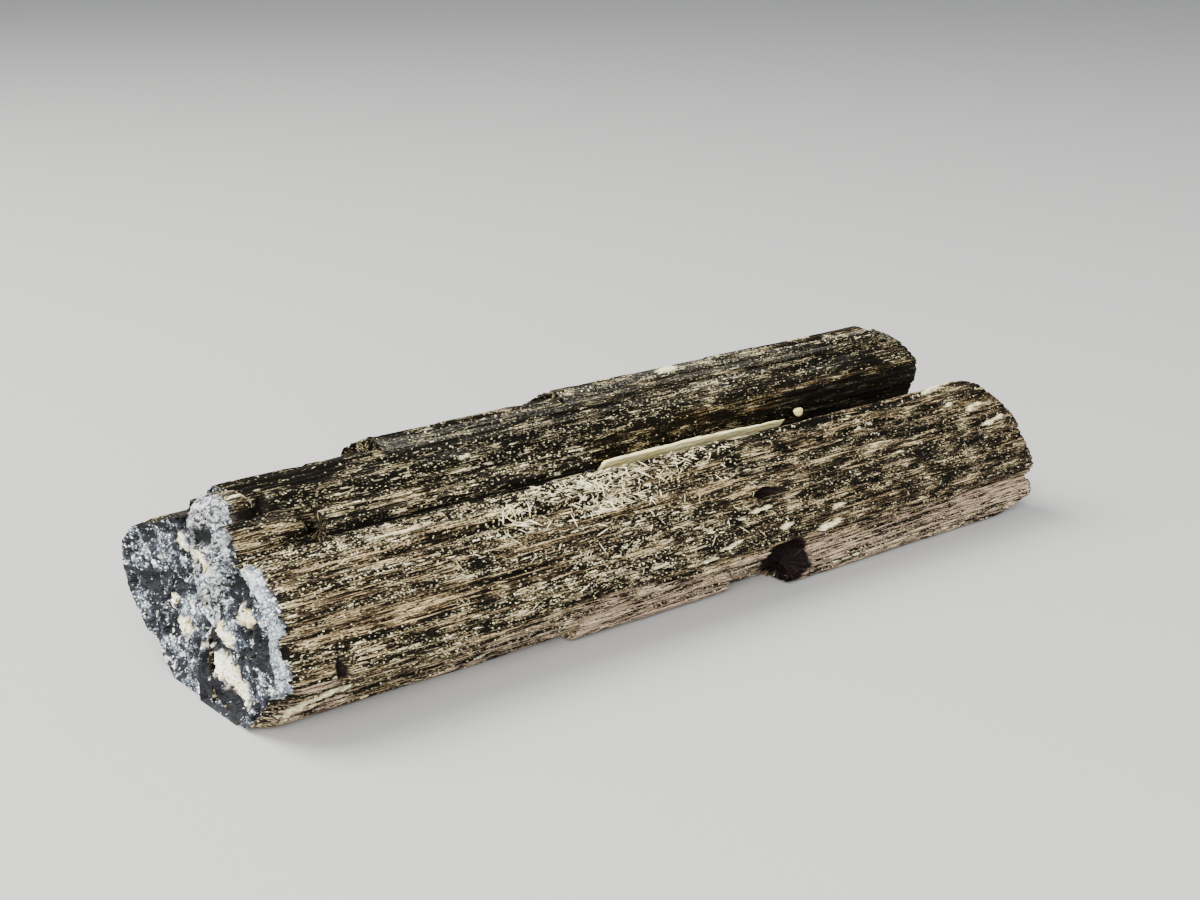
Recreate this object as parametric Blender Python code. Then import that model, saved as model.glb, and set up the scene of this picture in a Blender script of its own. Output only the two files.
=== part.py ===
"""Black tourmaline specimen: a bundle of striated prisms grown together, lying on its side.

Sizes are in millimetres and become metres when a mesh is written. X runs along the prisms, from the near
broken end to the far one, Y towards the back and Z up. Outlines are drawn across the prisms as (y, z)
points, anticlockwise as seen from the far end, with y measured from the toe line, where the front prism
meets the surface that the specimen rests on. Ends and pits are measured along X from the near end.
"""

import math

import bmesh
import bpy
import numpy as np
from mathutils import Matrix, Vector, noise

MM = 0.001
NEAR_X = -69.95               # the near end's place in the part's own frame, whose origin is the middle
TOE_Y = -15.265               # and the toe line's
FRONT_FLOOR = -1.2            # prisms reach below the rest plane, each to its own depth,
BACK_FLOOR = -1.6             # and one flat cut ends them all at the plane
LEDGE_FLOOR = -0.9
STEP_FLOOR = -0.7
GROUND_CUT = (300.0, 120.0, 10.0)  # size of the block that makes that cut
FACE_SPACING = 1.8            # width of one striation facet on the faces that show
HIDDEN_SPACING = 5.5          # and on the stretches that are buried in a neighbour
STATION_SPACING = 6.0         # length of one facet along a prism
END_INSET = 1.4               # the first station from each end, where the outline is already full
END_DRAW = 0.965              # share of the outline at the rim of a broken end
KNOB_DRAW = 0.82              # and at the rim of the rounded knob
END_RINGS = (0.76, 0.46, 0.18)  # rings of a broken end, as shares of its outline
END_LUMPS = 0.6               # height of the lumps and hollows on a broken end
END_WAVES = 7                 # waves that make them
LUMP_WIDTHS = (5.0, 12.0)     # and the range of those waves' lengths
BREAK_SHIFT = 0.45            # how much a striation's depth changes where it is broken across
SEED = 41

# The front prism, the largest. Its far end is broken at a slant: (height, distance from the near end).
FRONT_OUTLINE = (
    (14.5, FRONT_FLOOR), (14.5, 5.0), (12.0, 11.0), (8.8, 16.0), (6.2, 19.4), (3.7, 22.3), (1.8, 22.9),
    (-0.6, 22.9), (-1.7, 21.8), (-3.9, 20.2), (-5.6, 18.4), (-6.2, 16.2), (-6.2, 13.6), (-7.0, 10.8),
    (-7.4, 8.2), (-5.4, 5.6), (-2.6, 2.6), (0.3, 0.0), (0.3, FRONT_FLOOR))
FRONT_ENDS = (-0.8, (
    (0.0, 137.0), (2.6, 140.6), (6.0, 141.3), (11.0, 139.2), (16.0, 136.6), (20.2, 133.8), (22.9, 131.6)))

# The worn ledge along the front prism's foot, and a short step in front of it.
LEDGE_OUTLINE = (
    (4.0, LEDGE_FLOOR), (4.0, 5.0), (-3.5, 6.6), (-6.3, 5.2), (-6.9, 3.4), (-6.3, 1.6), (-5.0, 0.0),
    (-5.0, LEDGE_FLOOR))
LEDGE_ENDS = (85.5, ((0.0, 133.5), (1.6, 137.0), (3.0, 140.3), (6.6, 141.0)))
STEP_OUTLINE = (
    (3.0, STEP_FLOOR), (3.0, 4.6), (-3.2, 5.2), (-3.9, 3.0), (-1.4, 0.0), (-1.4, STEP_FLOOR))
STEP_ENDS = (47.0, ((0.0, 76.0), (5.2, 75.0)))

# The low prism at the back.
BACK_OUTLINE = (
    (22.6, BACK_FLOOR), (23.4, 0.0), (26.2, 1.6), (26.8, 3.7), (30.2, 3.9), (32.4, 6.0), (35.4, 8.6),
    (37.0, 12.0), (36.5, 15.8), (32.4, 19.4), (28.6, 20.6), (23.4, 22.6), (18.6, 24.4), (15.5, 25.4),
    (12.0, 21.0), (12.0, BACK_FLOOR))
BACK_ENDS = (-0.3, ((0.0, 126.0), (9.0, 122.0), (25.4, 119.5)))

# The rear prism, with the knob at its near end, whose foot closes the gap between the front and the back
# prism, and the two ridges on top, which start further in.
REAR_OUTLINE = (
    (20.0, 10.0), (25.0, 15.5), (25.8, 20.5), (22.0, 24.6), (17.4, 27.0), (14.2, 29.0), (10.8, 28.9),
    (8.6, 27.0), (8.0, 24.9), (9.3, 21.6), (11.2, 17.0), (13.0, 10.0))
REAR_ENDS = (3.2, ((10.0, 129.0), (21.0, 128.6), (25.0, 127.6), (28.7, 125.0)))
KNOB_OUTLINE = (
    (13.2, 12.0), (15.2, 22.0), (15.4, 25.6), (13.6, 28.0), (10.8, 28.6), (8.0, 27.8), (6.6, 25.6),
    (7.0, 22.6), (8.6, 12.0))
KNOB_ENDS = (-1.0, ((12.0, 5.0), (28.6, 5.6)))
RIDGE_OUTLINE = (
    (16.0, 23.0), (22.8, 24.8), (21.3, 27.2), (17.6, 29.1), (14.4, 30.4), (11.8, 30.3), (9.6, 28.8),
    (8.9, 26.8), (8.6, 24.6))
RIDGE_ENDS = (25.5, ((24.0, 127.8), (28.0, 125.2), (30.6, 122.0)))
CREST_OUTLINE = (
    (17.0, 27.0), (21.0, 27.9), (17.8, 30.1), (14.6, 31.5), (12.0, 31.2), (10.0, 29.8), (10.4, 27.5))
CREST_ENDS = (56.0, ((27.0, 125.0), (31.8, 117.5)))

# Laths that fill the near part of the groove between the front and the rear prism.
NEAR_LATH_OUTLINE = (
    (12.0, 19.0), (12.0, 25.6), (6.8, 25.9), (4.5, 25.3), (3.7, 23.4), (3.0, 21.4), (5.0, 19.0))
NEAR_LATH_ENDS = (0.1, ((19.0, 12.4), (22.0, 11.0), (25.9, 9.2)))
LONG_LATH_OUTLINE = (
    (12.5, 18.0), (12.5, 25.9), (8.6, 25.6), (5.4, 24.4), (3.4, 22.9), (2.8, 21.6), (5.0, 18.0))
LONG_LATH_ENDS = (13.2, ((18.0, 55.2), (25.9, 56.6)))

# Ribs that stand proud on the back: on the low prism's back and shoulder, and on the rear prism.
BACK_RIB_OUTLINE = ((33.0, 8.6), (36.6, 9.4), (37.8, 12.2), (37.2, 15.2), (33.0, 15.6))
BACK_RIB_ENDS = (16.0, ((8.6, 98.0), (15.6, 96.5)))
SHOULDER_RIB_OUTLINE = ((24.0, 20.0), (30.6, 18.8), (30.9, 20.4), (27.6, 22.0), (24.2, 23.2))
SHOULDER_RIB_ENDS = (38.0, ((18.8, 112.0), (23.2, 110.0)))
REAR_RIB_OUTLINE = ((22.5, 17.5), (26.2, 17.2), (27.0, 20.0), (25.2, 23.0), (22.5, 22.5))
REAR_RIB_ENDS = (8.0, ((17.2, 84.0), (23.0, 82.5)))

# Pits and gouges, as ellipsoids: centre (x, y, z), half sizes, and tilt about Y in degrees.
PITS = (
    ("oval_pit", (79.8, -6.4, 15.9), (2.4, 2.4, 1.1), 4.0),
    ("foot_hole", (84.6, -5.8, 4.7), (3.8, 3.6, 3.0), 8.0),
    ("block_pit", (6.6, 8.0, 26.4), (0.9, 1.9, 1.7), 12.0),
    ("ledge_pit", (8.0, -7.8, 9.0), (0.7, 1.3, 1.7), -20.0),
    ("back_pit", (64.0, 38.2, 12.6), (5.0, 2.4, 2.0), -3.0),
    ("back_gouge", (103.0, 27.2, 20.2), (9.0, 2.3, 1.6), 2.0),
)
PIT_DETAIL = 2                # how finely a pit is faceted
PIT_LUMPS = 0.16              # how far a pit's wall wanders, as a share of its half size

# The cream sliver that stands in the open part of the groove, 0.3 mm clear of the prisms.
SEAM_OUTLINE = ((6.5, 19.7), (7.1, 20.3), (4.95, 22.9), (4.3, 22.95), (4.1, 22.5))
SEAM_START = 57.9
SEAM_LENGTH = 35.6
SEAM_STATIONS = 20
SEAM_WANDER = 0.12            # how far the sliver's edges wander
SEAM_THIN_END = 0.45          # its outline narrows to this share at the ends


def material(name, colour, roughness):
    """A plain stone material with one colour and one roughness."""
    stone = bpy.data.materials.new(name)
    stone.use_nodes = True
    shader = stone.node_tree.nodes["Principled BSDF"]
    shader.inputs["Base Color"].default_value = (*colour, 1.0)
    shader.inputs["Roughness"].default_value = roughness
    shader.inputs["Metallic"].default_value = 0.0
    return stone


def shape_object(name, shape, stone):
    """An object from a bmesh shape, which it frees."""
    mesh = bpy.data.meshes.new(name)
    shape.to_mesh(mesh)
    shape.free()
    mesh.materials.append(stone)
    made = bpy.data.objects.new(name, mesh)
    bpy.context.scene.collection.objects.link(made)
    return made


def outline_columns(corners, showing):
    """Points along a closed outline, their outward normals, and whether they show. Those lie closer."""
    points, shows = [], []
    for index, start in enumerate(corners):
        run = np.subtract(corners[(index + 1) % len(corners)], start)
        spacing = FACE_SPACING if showing[0] <= index < showing[1] else HIDDEN_SPACING
        count = max(1, round(math.hypot(*run) / spacing))
        points += [np.add(start, run * step / count) for step in range(count)]
        shows += [spacing == FACE_SPACING] * count
    points = np.array(points)
    across = np.roll(points, -1, axis=0) - np.roll(points, 1, axis=0)
    normals = np.column_stack((across[:, 1], -across[:, 0]))
    return points, normals / np.linalg.norm(normals, axis=1)[:, None], np.array(shows)


def area_centre(points):
    """The centre of area of a closed outline, from which its whole rim is in sight."""
    after = np.roll(points, -1, axis=0)
    wedges = points[:, 0] * after[:, 1] - after[:, 0] * points[:, 1]
    return ((points + after) * wedges[:, None]).sum(axis=0) / (3.0 * wedges.sum())


def striations(count, stations, depth, rng):
    """Depth of each striation at each station: every other one is deep, and each is broken across once."""
    level = depth * rng.random(count) * np.where(np.arange(count) % 2, 1.0, 0.35)
    broken_at = rng.random(count)
    shift = BREAK_SHIFT * depth * rng.standard_normal(count)
    rows = level + np.where(stations[:, None] > broken_at, shift, 0.0)
    return np.clip(rows, 0.0, 1.4 * depth)


def end_lumps(across, seed):
    """Lumps of a fracture at points across it: waves of random direction, length and phase, added up."""
    rng = np.random.default_rng(seed)
    heading = rng.uniform(0.0, math.pi, END_WAVES)
    phase = rng.uniform(0.0, 2.0 * math.pi, END_WAVES)
    turns = across @ np.array((np.cos(heading), np.sin(heading))) / rng.uniform(*LUMP_WIDTHS, END_WAVES)
    return END_LUMPS * np.sin(2.0 * math.pi * turns + phase).sum(axis=1) / math.sqrt(END_WAVES)


def broken_end(rim, end_x, seed):
    """Rings of a fracture, from its rim inwards to its middle point."""
    centre = area_centre(rim)
    rings = []
    for share in (*END_RINGS, 0.0):
        across = centre + (rim - centre) * share if share else centre[None, :]
        rings.append(np.column_stack((end_x(across[:, 1]) + end_lumps(across, seed), across)))
    return rings


def ringed_solid(name, rings, stone):
    """A closed solid from rings in order along X, all of equal count but for the single point at each end."""
    count = len(rings[1])
    points = np.concatenate(rings) + (NEAR_X, TOE_Y, 0.0)
    last = len(points) - 1
    faces = []
    for column in range(count):
        beside = (column + 1) % count
        faces.append((0, 1 + column, 1 + beside))
        faces.append((last, last - count + beside, last - count + column))
        for row in range(len(rings) - 3):
            low = 1 + row * count
            faces.append((low + column, low + count + column, low + count + beside, low + beside))
    shape = bmesh.new()
    corners = [shape.verts.new(point) for point in points * MM]
    for face in faces:
        shape.faces.new([corners[index] for index in face])
    bmesh.ops.recalc_face_normals(shape, faces=shape.faces)
    return shape_object(name, shape, stone)


def prism(name, corners, ends, showing, depth, seed, stone, draw=END_DRAW):
    """A striated prism from a near fracture to a far one, whose place depends on the height."""
    near, far = ends
    heights, reaches = zip(*far)
    rng = np.random.default_rng(seed)
    columns, normals, shows = outline_columns(corners, showing)
    centre = area_centre(columns)
    drawn = np.where(shows, draw, 1.0)[:, None]
    length = reaches[0] - near
    inset = END_INSET / length
    inner = max(2, round(length / STATION_SPACING))
    stations = np.concatenate(([0.0], np.linspace(inset, 1.0 - inset, inner), [1.0]))
    depths = striations(len(columns), stations, depth, rng)
    depths[[0, -1]] = 0.0
    body = []
    for share, row in zip(stations, depths):
        across = columns - normals * row[:, None]
        if share in (0.0, 1.0):
            across = centre + (across - centre) * drawn
        along = near + share * (np.interp(across[:, 1], heights, reaches) - near)
        body.append(np.column_stack((along, across)))
    near_rings = broken_end(body[0][:, 1:], lambda z: np.full(len(z), near), SEED)
    far_rings = broken_end(body[-1][:, 1:], lambda z: np.interp(z, heights, reaches), seed + 1)
    return ringed_solid(name, near_rings[::-1] + body + far_rings, stone)


def pit_cutter(name, centre, half_sizes, tilt, stone):
    """A lumpy ellipsoid that cuts one pit."""
    ball = bmesh.new()
    bmesh.ops.create_icosphere(ball, subdivisions=PIT_DETAIL, radius=1.0)
    turn = Matrix.Rotation(math.radians(-tilt), 3, "Y")
    middle = Vector(centre) + Vector((NEAR_X, TOE_Y, 0.0))
    for vertex in ball.verts:
        swell = 1.0 + PIT_LUMPS * noise.noise(vertex.co * 1.7 + middle)
        size = Vector((vertex.co[axis] * half_sizes[axis] * swell for axis in range(3)))
        vertex.co = (middle + turn @ size) * MM
    return shape_object(name, ball, stone)


def ground_cutter(stone):
    """The block below the rest plane, whose top face cuts the flat underside."""
    block = bmesh.new()
    bmesh.ops.create_cube(block, size=1.0)
    size = Vector(GROUND_CUT) * MM
    for vertex in block.verts:
        vertex.co = Vector(vertex.co[axis] * size[axis] for axis in range(3)) - Vector((0, 0, size.z / 2))
    return shape_object("ground_cutter", block, stone)


def combine(target, tool, operation):
    """Fuse a solid into the target, or cut it out of it, and leave the solid as a hidden guide."""
    tool.hide_render = True
    tool.display_type = "WIRE"
    modifier = target.modifiers.new(f"{operation.lower()} {tool.name}", "BOOLEAN")
    modifier.operation = operation
    modifier.solver = "EXACT"
    modifier.object = tool


def seam(stone):
    """The cream sliver: a thin plate whose edges wander and whose ends thin out."""
    rng = np.random.default_rng(SEED)
    outline = np.array(SEAM_OUTLINE)
    centre = outline.mean(axis=0)
    rings = []
    for share in np.linspace(0.0, 1.0, SEAM_STATIONS):
        full = min(1.0, SEAM_THIN_END + 6.0 * min(share, 1.0 - share))
        across = centre + (outline - centre) * full
        across[2:4, 1] += SEAM_WANDER * rng.uniform(-1.0, 0.6)
        along = np.full(len(across), SEAM_START + share * SEAM_LENGTH)
        rings.append(np.column_stack((along, across)))
    tips = [ring.mean(axis=0)[None, :] for ring in (rings[0], rings[-1])]
    return ringed_solid("feldspar_seam", [tips[0], *rings, tips[1]], stone)


def build():
    """The whole specimen: one fused bundle of prisms, and the sliver in its groove."""
    for old in list(bpy.data.objects):
        bpy.data.objects.remove(old)
    black = material("tourmaline black", (0.075, 0.066, 0.052), 0.5)
    cream = material("feldspar cream", (0.72, 0.69, 0.52), 0.6)
    crystal = prism("tourmaline_crystal", FRONT_OUTLINE, FRONT_ENDS, (3, 18), 0.75, SEED, black)
    parts = (
        ("foot_ledge", LEDGE_OUTLINE, LEDGE_ENDS, (1, 7), 0.4),
        ("foot_step", STEP_OUTLINE, STEP_ENDS, (1, 5), 0.3),
        ("back_prism", BACK_OUTLINE, BACK_ENDS, (1, 14), 0.7),
        ("rear_prism", REAR_OUTLINE, REAR_ENDS, (0, 11), 0.6),
        ("rear_knob", KNOB_OUTLINE, KNOB_ENDS, (0, 8), 0.3),
        ("rear_ridge", RIDGE_OUTLINE, RIDGE_ENDS, (0, 8), 0.55),
        ("rear_crest", CREST_OUTLINE, CREST_ENDS, (0, 6), 0.4),
        ("back_rib", BACK_RIB_OUTLINE, BACK_RIB_ENDS, (0, 4), 0.35),
        ("shoulder_rib", SHOULDER_RIB_OUTLINE, SHOULDER_RIB_ENDS, (1, 4), 0.3),
        ("rear_rib", REAR_RIB_OUTLINE, REAR_RIB_ENDS, (0, 4), 0.35),
        ("near_lath", NEAR_LATH_OUTLINE, NEAR_LATH_ENDS, (1, 6), 0.3),
        ("long_lath", LONG_LATH_OUTLINE, LONG_LATH_ENDS, (1, 6), 0.35),
    )
    for index, (name, outline, ends, showing, depth) in enumerate(parts, start=1):
        draw = KNOB_DRAW if name == "rear_knob" else END_DRAW
        combine(crystal, prism(name, outline, ends, showing, depth, SEED + index, black, draw), "UNION")
    for name, centre, half_sizes, tilt in PITS:
        combine(crystal, pit_cutter(name, centre, half_sizes, tilt, black), "DIFFERENCE")
    combine(crystal, ground_cutter(black), "DIFFERENCE")
    seam(cream)


build()
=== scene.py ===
# %% [markdown]
# # A bundle of black tourmaline prisms
#
# Black tourmaline, or schorl, grows as long prisms with fine grooves along them. This specimen is a bundle
# of such prisms that grew side by side and fused. It lies on its side, and both of its ends are broken.
# The solid model already holds the prisms, their larger ribs, the ledges and the pits. It could be given a
# bumpy material and left at that, but a groove that only a bump draws has no shadow and no depth when the
# light is low. So every prism is made again here from the same outlines, with its fine striations and the
# grains of its fractures as real relief, cut inwards so that nothing grows past the solid.

# %% Load the frame
import math

import bpy
import numpy as np
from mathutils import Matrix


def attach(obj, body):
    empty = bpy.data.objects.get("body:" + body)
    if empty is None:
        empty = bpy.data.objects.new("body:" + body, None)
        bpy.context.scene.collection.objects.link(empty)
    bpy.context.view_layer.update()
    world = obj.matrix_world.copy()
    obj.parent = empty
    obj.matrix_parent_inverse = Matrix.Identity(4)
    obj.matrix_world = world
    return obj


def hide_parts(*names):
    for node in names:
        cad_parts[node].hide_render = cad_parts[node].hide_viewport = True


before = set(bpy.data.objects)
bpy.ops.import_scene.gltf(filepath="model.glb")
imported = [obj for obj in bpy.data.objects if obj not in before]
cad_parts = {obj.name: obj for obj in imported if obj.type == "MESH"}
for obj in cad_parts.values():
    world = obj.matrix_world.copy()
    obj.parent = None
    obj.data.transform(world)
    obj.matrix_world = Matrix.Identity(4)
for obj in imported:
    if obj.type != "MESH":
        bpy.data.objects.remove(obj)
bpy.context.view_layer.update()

MM = 0.001

# %% [markdown]
# ## Where things are measured from
#
# Lengths here are in millimetres. x is measured along the prisms from the near broken end, y towards the
# back from the toe line, where the front prism meets the table, and z up from the table. The two constants
# below carry those places into the part's own frame, whose origin is the middle of the base.

# %% Measures
NEAR_X = -69.95
TOE_Y = -15.265
ORIGIN = np.array((NEAR_X, TOE_Y, 0.0))
FACE_SPACING = 1.8
HIDDEN_SPACING = 5.5
STATION_SPACING = 6.0
END_INSET = 1.4
END_DRAW = 0.965
KNOB_DRAW = 0.82
LUMPS_START = 0.76
END_LUMPS = 0.6
END_WAVES = 7
LUMP_WIDTHS = (5.0, 12.0)
BREAK_SHIFT = 0.45
SEED = 41
print("the near end and the toe line lie at", ORIGIN, "in the part's frame")

# %% [markdown]
# ## The outline across a prism
#
# A prism is an outline, drawn across it as (y, z) points, carried along x. The outline could be a plain
# polygon, but a tourmaline face is never one plane: it steps up and down in ribs. So each edge is cut into
# facets, and every facet gets its own depth, which changes once along the prism where the rib is broken.


# %% Outline and facets
def outline_columns(corners, showing):
    """Points along a closed outline, their outward normals, and whether they show. Those lie closer."""
    points, shows = [], []
    for index, start in enumerate(corners):
        run = np.subtract(corners[(index + 1) % len(corners)], start)
        spacing = FACE_SPACING if showing[0] <= index < showing[1] else HIDDEN_SPACING
        count = max(1, round(math.hypot(*run) / spacing))
        points += [np.add(start, run * step / count) for step in range(count)]
        shows += [spacing == FACE_SPACING] * count
    points = np.array(points)
    across = np.roll(points, -1, axis=0) - np.roll(points, 1, axis=0)
    normals = np.column_stack((across[:, 1], -across[:, 0]))
    return points, normals / np.linalg.norm(normals, axis=1)[:, None], np.array(shows)


def area_centre(points):
    """The centre of area of a closed outline: the wedges to the origin, each weighted by its area."""
    after = np.roll(points, -1, axis=0)
    wedges = points[:, 0] * after[:, 1] - after[:, 0] * points[:, 1]
    return ((points + after) * wedges[:, None]).sum(axis=0) / (3.0 * wedges.sum())


def facet_depths(count, stations, depth, rng):
    """Depth of each facet at each station: every other one is deep, and each is broken across once."""
    level = depth * rng.random(count) * np.where(np.arange(count) % 2, 1.0, 0.35)
    broken_at = rng.random(count)
    shift = BREAK_SHIFT * depth * rng.standard_normal(count)
    rows = level + np.where(stations[:, None] > broken_at, shift, 0.0)
    return np.clip(rows, 0.0, 1.4 * depth)


def end_lumps(across, seed):
    """Lumps of a fracture at points across it: waves of random direction, length and phase, added up."""
    rng = np.random.default_rng(seed)
    heading = rng.uniform(0.0, math.pi, END_WAVES)
    phase = rng.uniform(0.0, 2.0 * math.pi, END_WAVES)
    turns = across @ np.array((np.cos(heading), np.sin(heading))) / rng.uniform(*LUMP_WIDTHS, END_WAVES)
    return END_LUMPS * np.sin(2.0 * math.pi * turns + phase).sum(axis=-1) / math.sqrt(END_WAVES)


print("a facet that shows is", FACE_SPACING, "mm wide, and a hidden one", HIDDEN_SPACING)

# %% [markdown]
# ## Random heights on a lattice
#
# Striations, grains and dust all come from one tool: random heights on a lattice of cells. Smoothed between
# the cells it gives gentle waves, and left unsmoothed it gives blocks with sharp sides, which is how a
# broken rib looks. Long, narrow cells make splinters, and square ones make grains.


# %% Lattice
def lattice(across, along, width, length, rng, blocks=False, stagger=True):
    """Heights from 0 to 1 in cells of width and length: smooth between cells, or one height for each."""
    span = max(1, math.ceil((across.max() - across.min()) / width)) + 2
    reach = max(1, math.ceil((along.max() - along.min()) / length)) + 3
    table = rng.random((span + 1, reach + 1))
    row = (across - across.min()) / width
    low_row = np.floor(row).astype(int)
    offsets = rng.random(span + 2) if stagger else np.zeros(span + 2)
    share = row - low_row
    ease = np.zeros_like(share) if blocks else share * share * (3.0 - 2.0 * share)

    def along_row(chosen):
        place = (along - along.min()) / length + offsets[chosen]
        low = np.floor(place).astype(int)
        step = place - low
        step = np.zeros_like(step) if blocks else step * step * (3.0 - 2.0 * step)
        return table[chosen, low] * (1.0 - step) + table[chosen, low + 1] * step

    return along_row(low_row) * (1.0 - ease) + along_row(low_row + 1) * ease


def ribs(across, along, width, length, groove, rng):
    """Ribs along the prism: how high each block of a rib stands, from 0 to 1, and the groove beside it."""
    wander = 0.8 * (lattice(across, along, 3.0 * width, 0.6 * length, rng) - 0.5)
    place = across / width + wander
    height = lattice(place, along, 1.0, length, rng, blocks=True)
    beside = np.abs((place - place.min()) % 1.0 - 0.5) * 2.0
    return height, np.clip((beside - 1.0 + groove) / groove, 0.0, 1.0)


def blend_rows(rows, places):
    """Rows at fractional places between the given ones, straight from one to the next."""
    low = np.minimum(np.floor(places).astype(int), len(rows) - 2)
    share = (places - low).reshape(-1, *([1] * (rows.ndim - 1)))
    return rows[low] * (1.0 - share) + rows[low + 1] * share


def fine_places(gaps, spacing):
    """Fractional places that cut every gap into steps no longer than the spacing for that gap."""
    counts = np.maximum(1, np.ceil(gaps / spacing).astype(int))
    starts = np.repeat(np.arange(len(gaps)), counts)
    first = np.repeat(np.cumsum(counts) - counts, counts)
    return starts + (np.arange(counts.sum()) - first) / np.repeat(counts, counts)


def grains(places, size, rng):
    """Facets of a fracture: a point takes the height and tilt of the nearest of many scattered middles."""
    cell = (places - places.min(axis=(0, 1))) / size + 1.0
    span = np.ceil(cell.max(axis=(0, 1))).astype(int) + 3
    middles, heights = rng.random((*span, 2)), rng.random(span)
    tilts = rng.uniform(-0.6, 0.6, (*span, 2))
    low = np.floor(cell).astype(int)
    nearest = np.full(cell.shape[:-1], np.inf)
    height = np.zeros(cell.shape[:-1])
    for step in np.ndindex(3, 3):
        row, column = low[..., 0] + step[0] - 1, low[..., 1] + step[1] - 1
        away = cell - np.stack((row, column), axis=-1) - middles[row, column]
        distance = (away ** 2).sum(axis=-1)
        nearer = distance < nearest
        nearest = np.where(nearer, distance, nearest)
        facet = heights[row, column] + (tilts[row, column] * away).sum(axis=-1)
        height = np.where(nearer, facet, height)
    return np.clip(height, 0.0, 1.0)


print("lattice, ribs and grains are ready")

# %% [markdown]
# ## A prism's skin
#
# The skin is one grid: rings from the middle of the near fracture out to its rim, along the whole prism, and
# in again to the middle of the far fracture. It starts from the same outline, facets and ends as the solid,
# so the two agree to a fraction of a millimetre. A subdivision modifier could refine the solid's own mesh,
# but its triangles run in every direction, and grooves need columns that follow the prism.

# %% The skin's grid
RIB_STEP = 0.19
HIDDEN_STEP = 0.7
ALONG_STEP = 0.6
CAP_STEP = 0.3
SAME_PLACE = 0.05
# width, length, depth of the block, depth of the groove beside it, and the groove's share of the width
RIB_SIZES = ((3.4, 50.0, 0.26, 0.40, 0.26), (1.2, 26.0, 0.26, 0.42, 0.42), (0.6, 12.0, 0.18, 0.20, 0.60))
GRAIN_SIZES = ((4.6, 0.7), (2.0, 0.6), (0.9, 0.4), (0.45, 0.22))
ROUGHNESS = 0.05
RIM_BEVEL = 0.9
JOINT = (3.2, 22.8)            # where the front prism meets the laths, across the bundle
JOINT_DEPTH = 1.3
JOINT_WIDTH = 1.6


def smooth(low, high, value):
    """0 below low, 1 above high, and an S-curve between them. It falls instead where low is above high."""
    share = np.clip((value - low) / (high - low), 0.0, 1.0)
    return share * share * (3.0 - 2.0 * share)


def rib_relief(around, along, rng):
    """Depth of the striations at each point, in mm: blocks of three sizes, with grooves between them."""
    depth = np.zeros_like(around)
    for width, length, block, groove, share in RIB_SIZES:
        height, beside = ribs(around, along, width, length, share, rng)
        depth += block * (1.0 - height) + groove * beside * lattice(around, along, 2.0 * width, length, rng)
    return depth + ROUGHNESS * lattice(around, along, 0.2, 0.6, rng)


def joint_groove(outline):
    """Extra depth where the front prism meets the laths: most on the joint's line, none 1.5 mm from it."""
    return JOINT_DEPTH * smooth(JOINT_WIDTH, 0.2, np.linalg.norm(outline - JOINT, axis=1))


def cap(rim, end_x, inward, seed, step, rng):
    """A fracture from its rim in to its middle: lumps as on the solid, and grains cut in below them."""
    centre = area_centre(rim[:, 1:])
    reach = rim[:, 1:] - centre
    count = math.ceil(np.linalg.norm(reach, axis=1).mean() / step)
    shares = np.linspace(1.0, 0.0, count + 1)[1:, None]
    across = centre + reach * shares[..., None]
    below = sum(depth * grains(across, size, rng) for size, depth in GRAIN_SIZES)
    raised = smooth(1.0, LUMPS_START, shares) * end_lumps(across, seed)
    edge = smooth(1.0, 0.93, shares)
    along = end_x(across[..., 1]) + raised + inward * below * edge
    points = np.concatenate((along[..., None], across), axis=-1)
    return points, (1.0 - shares) * np.linalg.norm(reach, axis=1), below


def rings_and_columns(corners, length, showing, depth, seed):
    """Where the grid's rings and columns lie: the fine outline, its facets, and places along the prism."""
    columns, normals, shows = outline_columns(corners, showing)
    inset = END_INSET / length
    inner = max(2, round(length / STATION_SPACING))
    stations = np.concatenate(([0.0], np.linspace(inset, 1.0 - inset, inner), [1.0]))
    depths = facet_depths(len(columns), stations, depth, np.random.default_rng(seed))
    depths[[0, -1]] = 0.0

    above = np.maximum(columns, (-np.inf, 0.0))
    kept = np.linalg.norm(above - np.roll(above, 1, axis=0), axis=1) > SAME_PLACE
    above, normals, shows, depths = above[kept], normals[kept], shows[kept], depths[:, kept]
    gaps = np.linalg.norm(np.roll(above, -1, axis=0) - above, axis=1)
    beside = fine_places(gaps, np.where(shows, RIB_STEP, HIDDEN_STEP))
    rows = fine_places(np.diff(stations) * length, np.full(inner + 1, ALONG_STEP))
    rows = np.append(rows, inner + 1.0)

    def around_ring(values, places=beside):
        return blend_rows(np.concatenate((values, values[:1])), places)

    normal = around_ring(normals)
    eased = np.floor(beside) + smooth(0.2, 0.8, beside % 1.0)
    return {
        "outline": around_ring(above),
        "normal": normal / np.linalg.norm(normal, axis=1)[:, None],
        "arc": np.interp(beside, np.arange(len(gaps) + 1), np.append(0.0, np.cumsum(gaps))),
        "shown": shows[np.floor(beside).astype(int)],
        "drawn": around_ring(shows.astype(float)),
        "facet": blend_rows(around_ring(depths.T, eased).T, rows),
        "share": np.interp(rows, np.arange(inner + 2), stations),
        "edge": np.clip(1.0 - np.minimum(rows, inner + 1.0 - rows), 0.0, 1.0)[:, None],
    }


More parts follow.
